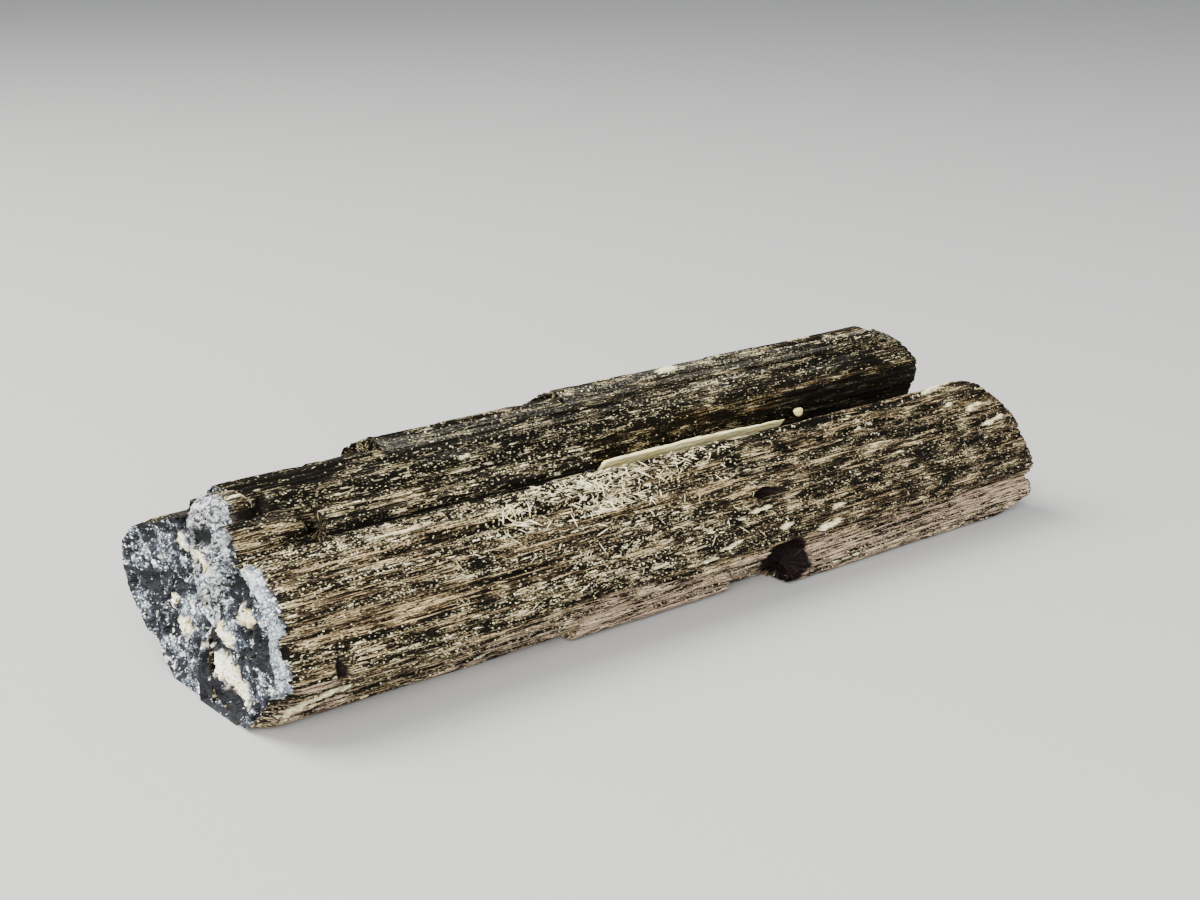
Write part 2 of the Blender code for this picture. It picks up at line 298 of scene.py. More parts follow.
def skin(corners, ends, showing, depth, seed, lift=0.0, draw=END_DRAW, bevel=0.0):
    """A prism's grid of points, rings by columns, with what the finish needs to know about each point."""
    near, far = ends
    heights, reaches = zip(*far)
    length = reaches[0] - near
    grid = rings_and_columns(corners, length, showing, depth, seed)
    outline, normal, arc, shown, facet, share = (
        grid[label] for label in ("outline", "normal", "arc", "shown", "facet", "share"))
    along, around = np.meshgrid(near + share * length, arc, indexing="ij")
    rng = np.random.default_rng(seed + 100)
    fine = rib_relief(around, along, rng) * shown
    fine = fine + joint_groove(outline) * smooth(4.0, 14.0, along) * smooth(140.0, 60.0, along) * shown
    fine = fine + bevel * smooth(2.6, near, along) * smooth(2.5, 0.5, outline[:, 0]) * shown
    across = outline - normal * (facet + fine)[..., None]
    centre = area_centre(outline)
    drawn = 1.0 - (1.0 - draw) * grid["edge"] * grid["drawn"]
    across = centre + (across - centre) * drawn[..., None]
    across[..., 1] = np.maximum(across[..., 1], lift)
    along = near + share[:, None] * (np.interp(across[..., 1], heights, reaches) - near)
    body = np.concatenate((along[..., None], across), axis=-1)

    near_cap, near_rim, near_deep = cap(body[0], lambda z: near + 0.0 * z, 1.0, SEED, CAP_STEP, rng)
    far_cap, far_rim, far_deep = cap(
        body[-1], lambda z: np.interp(z, heights, reaches), -1.0, seed + 1, 1.5 * CAP_STEP, rng)

    def joined(near_rings, body_rings, far_rings):
        return np.concatenate((near_rings[::-1], body_rings, far_rings))

    sizes = (len(near_cap), len(body), len(far_cap))
    none = np.zeros_like(fine)
    base = np.concatenate((along[..., None], np.broadcast_to(outline, across.shape)), axis=-1)
    inwards = np.concatenate((none[..., None], np.broadcast_to(-normal, across.shape)), axis=-1)
    return {
        "points": joined(near_cap, body, far_cap),
        "base": joined(near_cap, base, far_cap),
        "inwards": joined(0.0 * near_cap + (1.0, 0.0, 0.0), inwards, 0.0 * far_cap - (1.0, 0.0, 0.0)),
        "part": np.repeat((0, 1, 2), sizes),
        "around": np.broadcast_to(arc, (sum(sizes), len(arc))),
        "rim": joined(near_rim, none, far_rim),
        "deep": joined(near_deep, facet + fine, far_deep),
        "fine": joined(0.0 * near_rim, fine, 0.0 * far_rim),
    }


print("ribs of", [width for width, *_ in RIB_SIZES], "mm, and grains of", [size for size, _ in GRAIN_SIZES])

# %% [markdown]
# ## The outlines of the bundle
#
# These are the solid's own prisms. The front one is the largest. A low prism lies behind it, a rear prism
# stands on both, and two ridges and some laths lie along the top. Each is given as its corners, its ends,
# which corners show, and how deep its facets are. A far end is a slant: (height, distance from the near end).

# %% The outlines
PRISMS = {
    "front_prism": (
        ((14.5, -1.2), (14.5, 5.0), (12.0, 11.0), (8.8, 16.0), (6.2, 19.4), (3.7, 22.3), (1.8, 22.9),
         (-0.6, 22.9), (-1.7, 21.8), (-3.9, 20.2), (-5.6, 18.4), (-6.2, 16.2), (-6.2, 13.6), (-7.0, 10.8),
         (-7.4, 8.2), (-5.4, 5.6), (-2.6, 2.6), (0.3, 0.0), (0.3, -1.2)),
        (-0.8, ((0.0, 137.0), (2.6, 140.6), (6.0, 141.3), (11.0, 139.2), (16.0, 136.6), (20.2, 133.8),
                (22.9, 131.6))), (3, 18), 0.75),
    "foot_ledge": (
        ((4.0, -0.9), (4.0, 5.0), (-3.5, 6.6), (-6.3, 5.2), (-6.9, 3.4), (-6.3, 1.6), (-5.0, 0.0),
         (-5.0, -0.9)),
        (85.5, ((0.0, 133.5), (1.6, 137.0), (3.0, 140.3), (6.6, 141.0))), (1, 7), 0.4),
    "foot_step": (
        ((3.0, -0.7), (3.0, 4.6), (-3.2, 5.2), (-3.9, 3.0), (-1.4, 0.0), (-1.4, -0.7)),
        (47.0, ((0.0, 76.0), (5.2, 75.0))), (1, 5), 0.3),
    "back_prism": (
        ((22.6, -1.6), (23.4, 0.0), (26.2, 1.6), (26.8, 3.7), (30.2, 3.9), (32.4, 6.0), (35.4, 8.6),
         (37.0, 12.0), (36.5, 15.8), (32.4, 19.4), (28.6, 20.6), (23.4, 22.6), (18.6, 24.4), (15.5, 25.4),
         (12.0, 21.0), (12.0, -1.6)),
        (-0.3, ((0.0, 126.0), (9.0, 122.0), (25.4, 119.5))), (1, 14), 0.7),
    "rear_prism": (
        ((20.0, 10.0), (25.0, 15.5), (25.8, 20.5), (22.0, 24.6), (17.4, 27.0), (14.2, 29.0), (10.8, 28.9),
         (8.6, 27.0), (8.0, 24.9), (9.3, 21.6), (11.2, 17.0), (13.0, 10.0)),
        (3.2, ((10.0, 129.0), (21.0, 128.6), (25.0, 127.6), (28.7, 125.0))), (0, 11), 0.6),
    "rear_knob": (
        ((13.2, 12.0), (15.2, 22.0), (15.4, 25.6), (13.6, 28.0), (10.8, 28.6), (8.0, 27.8), (6.6, 25.6),
         (7.0, 22.6), (8.6, 12.0)),
        (-1.0, ((12.0, 5.0), (28.6, 5.6))), (0, 8), 0.3),
    "rear_ridge": (
        ((16.0, 23.0), (22.8, 24.8), (21.3, 27.2), (17.6, 29.1), (14.4, 30.4), (11.8, 30.3), (9.6, 28.8),
         (8.9, 26.8), (8.6, 24.6)),
        (25.5, ((24.0, 127.8), (28.0, 125.2), (30.6, 122.0))), (0, 8), 0.55),
    "rear_crest": (
        ((17.0, 27.0), (21.0, 27.9), (17.8, 30.1), (14.6, 31.5), (12.0, 31.2), (10.0, 29.8), (10.4, 27.5)),
        (56.0, ((27.0, 125.0), (31.8, 117.5))), (0, 6), 0.4),
    "back_rib": (
        ((33.0, 8.6), (36.6, 9.4), (37.8, 12.2), (37.2, 15.2), (33.0, 15.6)),
        (16.0, ((8.6, 98.0), (15.6, 96.5))), (0, 4), 0.35),
    "shoulder_rib": (
        ((24.0, 20.0), (30.6, 18.8), (30.9, 20.4), (27.6, 22.0), (24.2, 23.2)),
        (38.0, ((18.8, 112.0), (23.2, 110.0))), (1, 4), 0.3),
    "rear_rib": (
        ((22.5, 17.5), (26.2, 17.2), (27.0, 20.0), (25.2, 23.0), (22.5, 22.5)),
        (8.0, ((17.2, 84.0), (23.0, 82.5))), (0, 4), 0.35),
    "near_lath": (
        ((12.0, 19.0), (12.0, 25.6), (6.8, 25.9), (4.5, 25.3), (3.7, 23.4), (3.0, 21.4), (5.0, 19.0)),
        (0.1, ((19.0, 12.4), (22.0, 11.0), (25.9, 9.2))), (1, 6), 0.3),
    "long_lath": (
        ((12.5, 18.0), (12.5, 25.9), (8.6, 25.6), (5.4, 24.4), (3.4, 22.9), (2.8, 21.6), (5.0, 18.0)),
        (13.2, ((18.0, 55.2), (25.9, 56.6))), (1, 6), 0.35),
}
SKINS = {}
for order, (name, (corners, ends, showing, depth)) in enumerate(PRISMS.items()):
    draw = KNOB_DRAW if name == "rear_knob" else END_DRAW
    bevel = RIM_BEVEL if name == "front_prism" else 0.0
    SKINS[name] = skin(corners, ends, showing, depth, SEED + order, 0.03 * order, draw, bevel)
    print(name, "rings by columns:", SKINS[name]["points"].shape[:2])

# %% [markdown]
# ## Pits and feldspar
#
# The two large pits in the front are where something was once embedded, and the others are chips. Each is
# an ellipsoid. A boolean would cut it, as it does in the solid, but its flat cut faces would lose the grid,
# so the skin's points inside an ellipsoid are pushed on to its far wall instead. The crevice under the knob
# is a line across the near fracture, and the points close to it go deeper in the same way. Feldspar fills
# the grooves as thin cream slivers, and sits in the hollows of the near fracture as patches. Where it fills
# a groove, the groove is less deep, so the sliver is a shape too and not only a colour.

# %% Pits
# Middle (x, y, z), half sizes, and the turn in the upright plane along the prism, in degrees.
PITS = (
    ((79.8, -6.4, 15.9), (2.4, 2.4, 1.1), 4.0),
    ((84.6, -5.8, 4.7), (3.8, 3.6, 3.0), 8.0),
    ((6.6, 8.0, 26.4), (0.9, 1.9, 1.7), 12.0),
    ((7.9, -7.5, 8.9), (1.0, 1.9, 2.7), -20.0),
    ((3.9, 5.6, 26.4), (0.5, 1.5, 1.3), 10.0),
    ((64.0, 38.2, 12.6), (5.0, 2.4, 2.0), -3.0),
    ((103.0, 27.2, 20.2), (9.0, 2.3, 1.6), 2.0),
)
PIT_ROUGHNESS = 0.10
NEIGHBOUR_PIT = 1.08        # other prisms are cut this much wider, so that their walls don't cross
CREVICE = ((19.0, 23.7), (15.4, 22.2), (11.2, 22.9), (6.8, 24.8))     # below the knob, as (y, z)
CREVICE_DEPTH = 0.9


def push_into_pit(made, centre, half_sizes, tilt, rng):
    """Points inside the ellipsoid go inwards to where they leave it: the larger root of |q + k e| = 1."""
    slope = math.radians(tilt)
    turn = np.array(((math.cos(slope), 0.0, math.sin(slope)), (0.0, 1.0, 0.0),
                     (-math.sin(slope), 0.0, math.cos(slope))))
    near = (np.abs(made["points"] - centre) < max(half_sizes) * 1.3).all(axis=-1)
    if not near.any():
        return
    points, heading = made["points"][near], made["inwards"][near]
    lumps = 1.0 + PIT_ROUGHNESS * (lattice(points[:, 2], points[:, 0], 1.6, 1.8, rng) - 0.6)
    size = np.array(half_sizes) * lumps[:, None]
    place = ((points - centre) @ turn) / size
    step = (heading @ turn) / size
    square, cross, rest = (step ** 2).sum(axis=1), (place * step).sum(axis=1), (place ** 2).sum(axis=1) - 1.0
    root = np.maximum(cross ** 2 - square * rest, 0.0)
    travel = np.where(rest < 0.0, (np.sqrt(root) - cross) / np.maximum(square, 1e-9), 0.0)
    made["points"][near] = points + heading * travel[:, None]
    # painted shade in pits: the deeper a point is pushed, the darker it is painted
    made["pit"][near] = np.maximum(made["pit"][near], smooth(0.02, 0.35, travel))


def near_line(across, start, end):
    """Distance of points across the prism from a straight line between two of them."""
    start, run = np.array(start), np.subtract(end, start)
    share = np.clip(((across - start) @ run) / (run @ run), 0.0, 1.0)
    return np.linalg.norm(across - start - share[..., None] * run, axis=-1)


pit_rng = np.random.default_rng(SEED + 300)
for name, made in SKINS.items():
    made["pit"] = np.zeros(made["points"].shape[:2])
    wider = 1.0 if name == "front_prism" else NEIGHBOUR_PIT
    for centre, half_sizes, tilt in PITS:
        push_into_pit(made, centre, np.array(half_sizes) * wider, tilt, pit_rng)
    near_end = (made["part"] == 0)[:, None] & (made["points"][..., 0] < 4.0)
    away = np.min([near_line(made["points"][..., 1:], *pair) for pair in zip(CREVICE, CREVICE[1:])], axis=0)
    made["crevice"] = smooth(1.5, 0.6, away) * near_end
    made["points"][..., 0] += CREVICE_DEPTH * made["crevice"]
    made["points"][..., 2] = np.maximum(made["points"][..., 2], 0.0)
print("points in pits:", sum(int((made["pit"] > 0).sum()) for made in SKINS.values()))

# %% [markdown]
# ## Slivers of feldspar on the front prism
#
# Each sliver is a line along the prism with a width, widest in the middle. Its distance to a point of the
# outline is worked out across the prism, and a little noise breaks up its edge.

# %% Slivers and patches
# Both ends of a sliver as (x, y, z), and its width.
SLIVERS = {
    "front_prism": (
        ((48.0, -6.1, 12.6), (55.7, -6.1, 12.7), 0.9), ((69.6, -7.1, 9.7), (73.5, -7.0, 10.3), 1.0),
        ((76.4, -6.2, 13.6), (81.3, -6.2, 13.8), 0.8), ((81.2, -6.9, 10.5), (84.4, -6.8, 10.8), 1.0),
        ((88.8, -7.3, 8.2), (94.5, -7.2, 9.1), 1.2), ((102.4, -0.3, 22.9), (103.2, -3.0, 20.5), 1.0),
        ((119.1, 0.6, 22.8), (131.5, 3.2, 22.4), 1.2), ((120.8, -2.6, 20.7), (126.2, -1.8, 21.5), 1.1),
        ((115.1, -4.8, 19.0), (120.8, -2.6, 20.7), 0.8), ((125.8, -4.0, 19.8), (131.1, -2.8, 20.6), 1.6),
        ((127.6, -6.0, 17.2), (133.7, -5.8, 18.1), 1.4), ((19.1, -5.4, 18.5), (19.9, -6.0, 16.9), 0.5),
        ((27.0, -6.2, 13.1), (34.9, -6.2, 13.2), 0.4), ((73.8, -5.6, 18.3), (78.2, -6.2, 13.4), 0.4),
        ((16.0, -0.4, 22.9), (24.0, -0.8, 22.8), 0.6), ((57.0, -7.1, 10.2), (60.4, -7.1, 10.3), 0.6),
        ((62.0, -6.3, 12.0), (66.5, -6.3, 12.1), 0.5), ((66.0, -7.2, 8.6), (69.6, -7.2, 8.8), 0.7),
        ((92.5, -6.9, 11.2), (96.0, -6.8, 11.4), 0.9), ((86.0, -6.3, 12.2), (88.6, -6.3, 12.4), 0.8),
        ((0.3, -2.4, 2.2), (6.5, -4.0, 3.9), 0.9), ((1.5, -3.1, 3.1), (11.0, -5.6, 5.6), 1.2),
        ((3.0, -4.2, 4.3), (9.5, -5.6, 5.8), 0.9), ((5.0, -3.4, 3.2), (10.4, -4.9, 5.0), 0.5)),
    "rear_prism": (((3.6, 9.4, 28.2), (9.4, 10.2, 28.7), 0.9), ((36.0, 8.6, 26.4), (38.6, 8.7, 26.8), 0.9)),
    "rear_knob": (((0.5, 9.0, 27.9), (5.5, 9.8, 28.2), 0.8),),
    "rear_crest": (((74.6, 13.2, 31.4), (79.2, 13.4, 31.4), 1.9),),
}
# Patches on the near fracture: middle (y, z), half sizes and the turn of the longer one in degrees.
CREAM_PATCHES = (
    ((6.9, 6.0), (4.6, 2.2), 12.0), ((7.5, 11.3), (2.0, 1.3), 30.0), ((2.9, 14.7), (2.0, 1.4), -20.0),
    ((18.6, 9.1), (1.5, 1.0), 10.0), ((21.0, 11.6), (0.9, 0.9), 0.0), ((11.9, 19.6), (1.7, 0.8), 25.0),
    ((18.6, 20.3), (1.0, 1.3), 0.0), ((-3.0, 7.0), (0.6, 0.6), 0.0),
)


def sliver_cover(base, start, end, width):
    """1 on a sliver and 0 off it: the distance across to its line, against a width that thins at its ends."""
    start, end = np.array(start), np.array(end)
    share = (base[..., 0] - start[0]) / (end[0] - start[0])
    middle = start[1:] + np.clip(share, 0.0, 1.0)[..., None] * (end[1:] - start[1:])
    away = np.linalg.norm(base[..., 1:] - middle, axis=-1)
    half = 0.5 * width * np.clip(5.0 * np.minimum(share, 1.0 - share), 0.0, 1.0)
    half = half * (0.75 + 0.35 * np.sin(9.0 * share + 5.0 * start[0]) * np.sin(4.0 * share + start[0]))
    return smooth(1.0, 0.6, away / np.maximum(half, 0.01)) * (half > 0.02)


def patch_cover(across, middle, half_sizes, turn, ragged):
    """1 inside an ellipse across the fracture and 0 outside it, with an edge that the noise moves."""
    slope = math.radians(turn)
    away = across - middle
    long = (away[..., 0] * math.cos(slope) + away[..., 1] * math.sin(slope)) / half_sizes[0]
    short = (away[..., 1] * math.cos(slope) - away[..., 0] * math.sin(slope)) / half_sizes[1]
    return smooth(1.15, 0.85, np.hypot(long, short) + 1.1 * (ragged - 0.5))


cream_rng = np.random.default_rng(SEED + 400)
for name, made in SKINS.items():
    points, shape = made["points"], made["points"].shape[:2]
    made["cream"] = np.zeros(shape)
    ragged = lattice(made["around"], points[..., 0], 0.35, 1.2, cream_rng) - 0.5
    ragged = ragged + lattice(made["around"], points[..., 0], 0.6, 2.4, cream_rng) - 0.5
    for start, end, width in SLIVERS.get(name, ()):
        made["cream"] = np.maximum(made["cream"], sliver_cover(made["base"], start, end, width))
    made["cream"] = smooth(0.35, 0.65, made["cream"] + 0.7 * ragged * (made["cream"] > 0.0))
    made["cream"][made["part"] != 1] = 0.0
    face = (made["part"] == 0)[:, None] & (points[..., 0] < 5.0)
    if face.any():
        ragged = 0.6 * lattice(points[..., 1], points[..., 2], 1.1, 1.1, cream_rng)
        ragged += 0.4 * lattice(points[..., 1], points[..., 2], 0.4, 0.4, cream_rng)
        for middle, half_sizes, turn in CREAM_PATCHES:
            cover = patch_cover(points[..., 1:], middle, half_sizes, turn, ragged) * face
            made["cream"] = np.maximum(made["cream"], cover)
    made["points"] = made["points"] - made["inwards"] * (0.6 * made["cream"] * np.minimum(
        made["deep"], 0.6))[..., None]
print("cream points:", {name: int((made["cream"] > 0.5).sum()) for name, made in SKINS.items()})

# %% [markdown]
# ## Bands, dust and frost
#
# The front isn't evenly grey. Smooth brown ribs lie beside rough black bands whose grooves hold cream
# crumbs. Noise could place all of this in the material, but then the crumbs wouldn't know where the grooves
# are. So the measures are worked out here for each point, and the material reads them as attributes. The
# bands that catch the eye on the front are listed, and noise adds the rest.

# %% Bands on the front prism
# x from and to, height at both, half width at both and strength. A negative one is a smooth strip of film.
BANDS = (
    (1.0, 44.0, 16.7, 16.0, 0.15, 0.85, 1.0), (43.0, 82.0, 18.2, 17.9, 0.25, 0.4, 0.8),
    (12.0, 43.0, 11.8, 11.8, 0.12, 0.45, 1.0), (42.0, 80.0, 13.9, 13.4, 0.7, 0.9, 0.9),
    (9.0, 44.0, 9.3, 9.5, 0.12, 0.5, 0.8), (50.0, 64.0, 17.3, 17.0, 0.5, 0.5, 1.0),
    (0.0, 60.0, 22.6, 22.6, 0.5, 0.5, 0.8), (46.0, 84.0, 10.6, 10.2, 1.6, 1.9, 0.6),
    (84.0, 126.0, 14.0, 14.5, 2.4, 2.0, 0.55), (10.0, 36.0, 19.8, 20.3, 0.4, 0.7, 0.35),
    (34.0, 78.0, 18.6, 19.2, 0.6, 0.5, -1.0), (2.0, 24.0, 14.0, 13.8, 1.7, 1.0, -0.8),
    (26.0, 96.0, 6.6, 7.0, 1.1, 1.4, -0.9), (2.0, 12.0, 18.5, 18.2, 1.0, 0.6, -0.6),
)


def band_cover(x, z, start, end, low_z, high_z, half, far_half, strength):
    """How much of a band lies at (x, z): its line's height and half width run evenly from start to end."""
    share = np.clip((x - start) / (end - start), 0.0, 1.0)
    half_here = half + share * (far_half - half)
    away = np.abs(z - low_z - share * (high_z - low_z)) / half_here
    inside = smooth(start - 1.5, start + 3.0, x) * smooth(end + 3.0, end - 1.5, x)
    return strength * smooth(1.25, 0.75, away) * inside


def film_bands(name, made, scattered, rng):
    """Rough black bands, up to 1.2, and smooth strips of film, down to -0.8: scattered ones, then BANDS."""
    x, _, z = np.moveaxis(made["points"], -1, 0)
    band = smooth(0.50, 0.66, scattered)
    if name == "front_prism":
        ragged = made["base"][..., 2] + 0.7 * (lattice(made["around"], x, 0.5, 5.0, rng) - 0.5)
        band = band * (0.35 + 0.45 * smooth(36.0, 56.0, x)) + 0.10 * smooth(58.0, 90.0, x)
        band = band + 0.5 * smooth(18.0, 20.0, z) * smooth(36.0, 46.0, x) * smooth(88.0, 76.0, x)
        for line in BANDS:
            band = band + band_cover(x, ragged, *line)
    return np.clip(band, -0.8, 1.2)


print("bands on the front:", len(BANDS))

# %% [markdown]
# ## Painted shade, worn edges with painted bounce light, and the pale rim
#
# The gap between the front prism and the laths is cut as a groove, but soft light still reaches into it. So
# a measure paints shade into it as well, and into the hollows of the near fracture and the faces that lie
# between prisms. Two more measures say where the film is worn off, with painted bounce light from the floor
# laid on the same places, and where the fracture's rim is pale.

# %% Dark places
JOINED = ("front_prism", "near_lath", "long_lath")
AT_THE_STEP = ("near_lath", "rear_knob", "rear_prism")
# Hollows in the near fracture, painted with shade: middle (y, z), half sizes, strength, and where their edge
# begins and ends.
HOLLOWS = (
    ((1.1, 11.7), (3.6, 2.1), 1.0, 1.2, 0.6), ((11.3, 3.3), (5.0, 1.9), 1.0, 1.25, 0.75),
    ((22.5, 10.6), (2.6, 1.8), 0.8, 1.3, 0.6), ((4.0, 17.4), (1.8, 2.6), 0.8, 1.3, 0.6),
    ((14.0, 7.0), (2.6, 1.6), 0.6, 1.3, 0.6), ((19.6, 21.6), (1.6, 2.4), 0.7, 1.3, 0.6),
)
# The crack on the near fracture, painted with shade: both ends as (y, z).
CRACK = ((10.8, 15.3), (5.8, 18.2))
# An ellipsoid over the foot hole and round it, painted with shade: middle (x, y, z) and half sizes.
FOOT_HOLE_SHADE = ((85.2, -5.8, 4.0), (3.9, 7.0, 4.5))


def from_middle(points, middle, half_sizes):
    """How far points are from the middle of an ellipse or an ellipsoid, counted as 1 at its edge."""
    return np.linalg.norm((points - middle) / np.array(half_sizes), axis=-1)


def near_face_shade(across):
    """Painted shade in the hollows and the crack of the near fracture, from 0 to 1."""
    shade = smooth(0.55, 0.2, near_line(across, *CRACK))
    for middle, half_sizes, strength, outer, inner in HOLLOWS:
        hollow = strength * smooth(outer, inner, from_middle(across, middle, half_sizes))
        shade = np.maximum(shade, hollow)
    return shade


def painted_shade(name, made, thin, body):
    """Painted shade at each point: the hollows and crevice, the gap beside the laths, and faces between
    prisms.
    """
    x, y, z = np.moveaxis(made["points"], -1, 0)
    shade = np.maximum(near_face_shade(made["points"][..., 1:]) * ~body, 1.3 * made["crevice"])
    if name in JOINED:
        joint = np.linalg.norm(made["base"][..., 1:] - JOINT, axis=-1) + 0.5 * (thin - 0.5)
        gap = smooth(1.15, 0.45, joint) * smooth(7.0, 14.0, x) * smooth(60.0, 54.0, x)
        shade = np.maximum(shade, gap * body)
    if name in AT_THE_STEP:
        line = smooth(0.75, 0.25, np.abs(z - 25.9 + 0.03 * x)) * smooth(10.5, 8.5, x) * (y < 9.5)
        shade = np.maximum(shade, line * body)
    if name == "rear_prism":
        low = 0.85 * smooth(25.0, 24.1, z + 0.8 * (thin - 0.5))
        shade = shade + low * smooth(93.0, 101.0, x) * smooth(15.0, 12.0, y) * body
    if name == "back_prism":
        high = 0.8 * smooth(20.0, 22.0, z) * smooth(9.0, 4.0, x + 6.0 * (thin - 0.5))
        shade = np.maximum(shade, high * body)
    return shade


def worn_and_bounce_lit(x, z, cloud):
    """Worn film and painted bounce light from the floor: low on the front, in one patch near the end, and
    along the near foot.
    """
    low = smooth(8.0, 5.5, z + 2.5 * (cloud - 0.5)) * smooth(20.0, 34.0, x)
    low = np.maximum(low, smooth(1.3, 0.6, np.hypot((x - 4.6) / 3.2, (z - 7.6) / 1.3)))
    return np.maximum(low, smooth(6.2, 5.2, z) * smooth(13.0, 10.0, x))


def pale_rim(name, made, body, rng):
    """The pale rim of the near fracture: strong on the front prism, faint on the knob, with a ragged edge."""
    x, y, z = np.moveaxis(made["points"], -1, 0)
    ragged_x = x + 0.9 * (lattice(made["around"], x, 1.7, 3.0, rng) - 0.5)
    ragged_x = ragged_x + 0.5 * (lattice(made["around"], x, 0.5, 1.0, rng) - 0.5)
    if name == "rear_knob":
        return 0.4 * smooth(2.4, 1.0, ragged_x) * body
    rim = np.where(body, smooth(1.1, 0.2, ragged_x), smooth(1.05, 0.2, made["rim"]))
    rim = rim * smooth(2.0, 0.0, y) * smooth(5.5, 9.5, z) * (made["part"] < 2)[:, None]
    return rim if name == "front_prism" else np.zeros_like(x)


print("hollows in the near fracture:", len(HOLLOWS))

# %% Measures for the finish
WORN_AND_BOUNCE_LIT = ("front_prism", "foot_ledge", "foot_step")
REAR = ("rear_prism", "rear_ridge", "rear_crest")
TOPS = REAR + ("back_prism",)
band_rng = np.random.default_rng(SEED + 500)
for name, made in SKINS.items():
    points, around, body = made["points"], made["around"], (made["part"] == 1)[:, None]
    x, y, z = np.moveaxis(points, -1, 0)
    wide, thin, cloud = (lattice(around, x, width, length, band_rng)
                         for width, length in ((2.3, 46.0), (0.8, 20.0), (3.0, 14.0)))
    made["band"] = film_bands(name, made, 0.62 * wide + 0.38 * thin, band_rng) * body
    # painted shade: the film is darker where the fine relief is deeper
    made["groove"] = smooth(0.30, 1.0, made["fine"]) * body
    made["dust"] = np.clip(0.15 + 0.8 * made["band"] + 0.9 * (cloud - 0.5), 0.0, 1.0)
    if name == "front_prism":
        made["dust"] = made["dust"] * (1.0 - 0.85 * smooth(45.0, 85.0, x))
    if name in REAR:
        made["band"] = made["band"] + 1.3 * smooth(80.0, 30.0, x) * body
    made["wear"], made["frost"], made["olive"] = (np.zeros_like(x) for _ in range(3))
    if name == "rear_prism":
        made["olive"] = smooth(26.5, 24.5, z + 1.5 * (cloud - 0.5)) * smooth(56.0, 58.0, x) * body
        made["dust"] = made["dust"] * (1.0 - 0.8 * made["olive"])
    if name in WORN_AND_BOUNCE_LIT:
        # worn film and painted bounce light from the floor on the low faces
        made["wear"] = worn_and_bounce_lit(x, z, cloud) * body
        # painted shade over the foot hole and round it
        foot = from_middle(points, *FOOT_HOLE_SHADE) + 0.35 * (lattice(x, y + z, 0.9, 0.9, band_rng) - 0.5)
        made["pit"] = np.maximum(made["pit"], smooth(1.12, 0.92, foot))
    if name == "rear_knob":
        made["frost"] = 0.8 * smooth(3.4, 1.6, x + 2.0 * (cloud - 0.5)) * (1.0 - made["crevice"])
    if name in TOPS:
        top = smooth(26.5, 29.5, z + 3.0 * (cloud - 0.5)) if name != "back_prism" else smooth(22.0, 25.0, z)
        made["frost"] = 0.6 * top * smooth(0.35, 0.65, thin) * body
    made["rim_light"] = pale_rim(name, made, body, band_rng)
    # painted shade: hollows, crevice, the gap by the laths and faces between prisms
    made["shade"] = painted_shade(name, made, thin, body)
    print(name, "band share:", round(float(made["band"].mean()), 2))

# %% [markdown]
# ## From grids to meshes
#
# A closed grid becomes a mesh in one pass: rings of quads, and a fan of triangles at each pole. The faces
# are worked out as whole arrays of corner numbers, turned so that they point outwards. The measures from
# the last cells go along as attributes, and the place along and around the prism as one more, because the
# striations' fine colour must follow the grooves round every edge.

# %% Meshes
MEASURES = ("band", "groove", "cream", "dust", "wear", "frost", "olive", "rim_light", "shade", "pit")
# Pieces whose near end lies within the bundle, so that it keeps the film and isn't a fresh fracture.
INNER_ENDS = ("foot_ledge", "foot_step", "rear_ridge", "rear_crest", "back_rib", "shoulder_rib", "rear_rib",
              "long_lath")


def ring_faces(rows, columns):
    """Corner numbers of a closed grid whose first and last point are poles: the quads, then both fans."""
    here = 1 + np.arange(rows * columns).reshape(rows, columns)
    beside = np.roll(here, -1, axis=1)
    quads = np.stack((here[:-1], beside[:-1], beside[1:], here[1:]), axis=-1).reshape(-1, 4)
    last = rows * columns + 1
    first_fan = np.stack((np.zeros(columns, int), beside[0], here[0]), axis=-1)
    last_fan = np.stack((here[-1], beside[-1], np.full(columns, last)), axis=-1)
    return quads, first_fan, last_fan


def mesh_piece(name, points, faces, measures=None, grain=None):
    """An object at the origin with its place in its mesh. Points come in mm, measured from the toe line."""
    mesh = bpy.data.meshes.new(name)
    corners = [face for kind in faces for face in kind.tolist()]
    mesh.from_pydata(((points + ORIGIN) * MM).tolist(), [], corners)
    for label, values in (measures or {}).items():
        mesh.attributes.new(label, "FLOAT", "POINT").data.foreach_set("value", values.astype(np.float32))
    if grain is not None:
        mesh.attributes.new("grain", "FLOAT_VECTOR", "POINT").data.foreach_set(
            "vector", grain.astype(np.float32).ravel())
    mesh.update()
    piece = bpy.data.objects.new(name, mesh)
    bpy.context.scene.collection.objects.link(piece)
    return piece


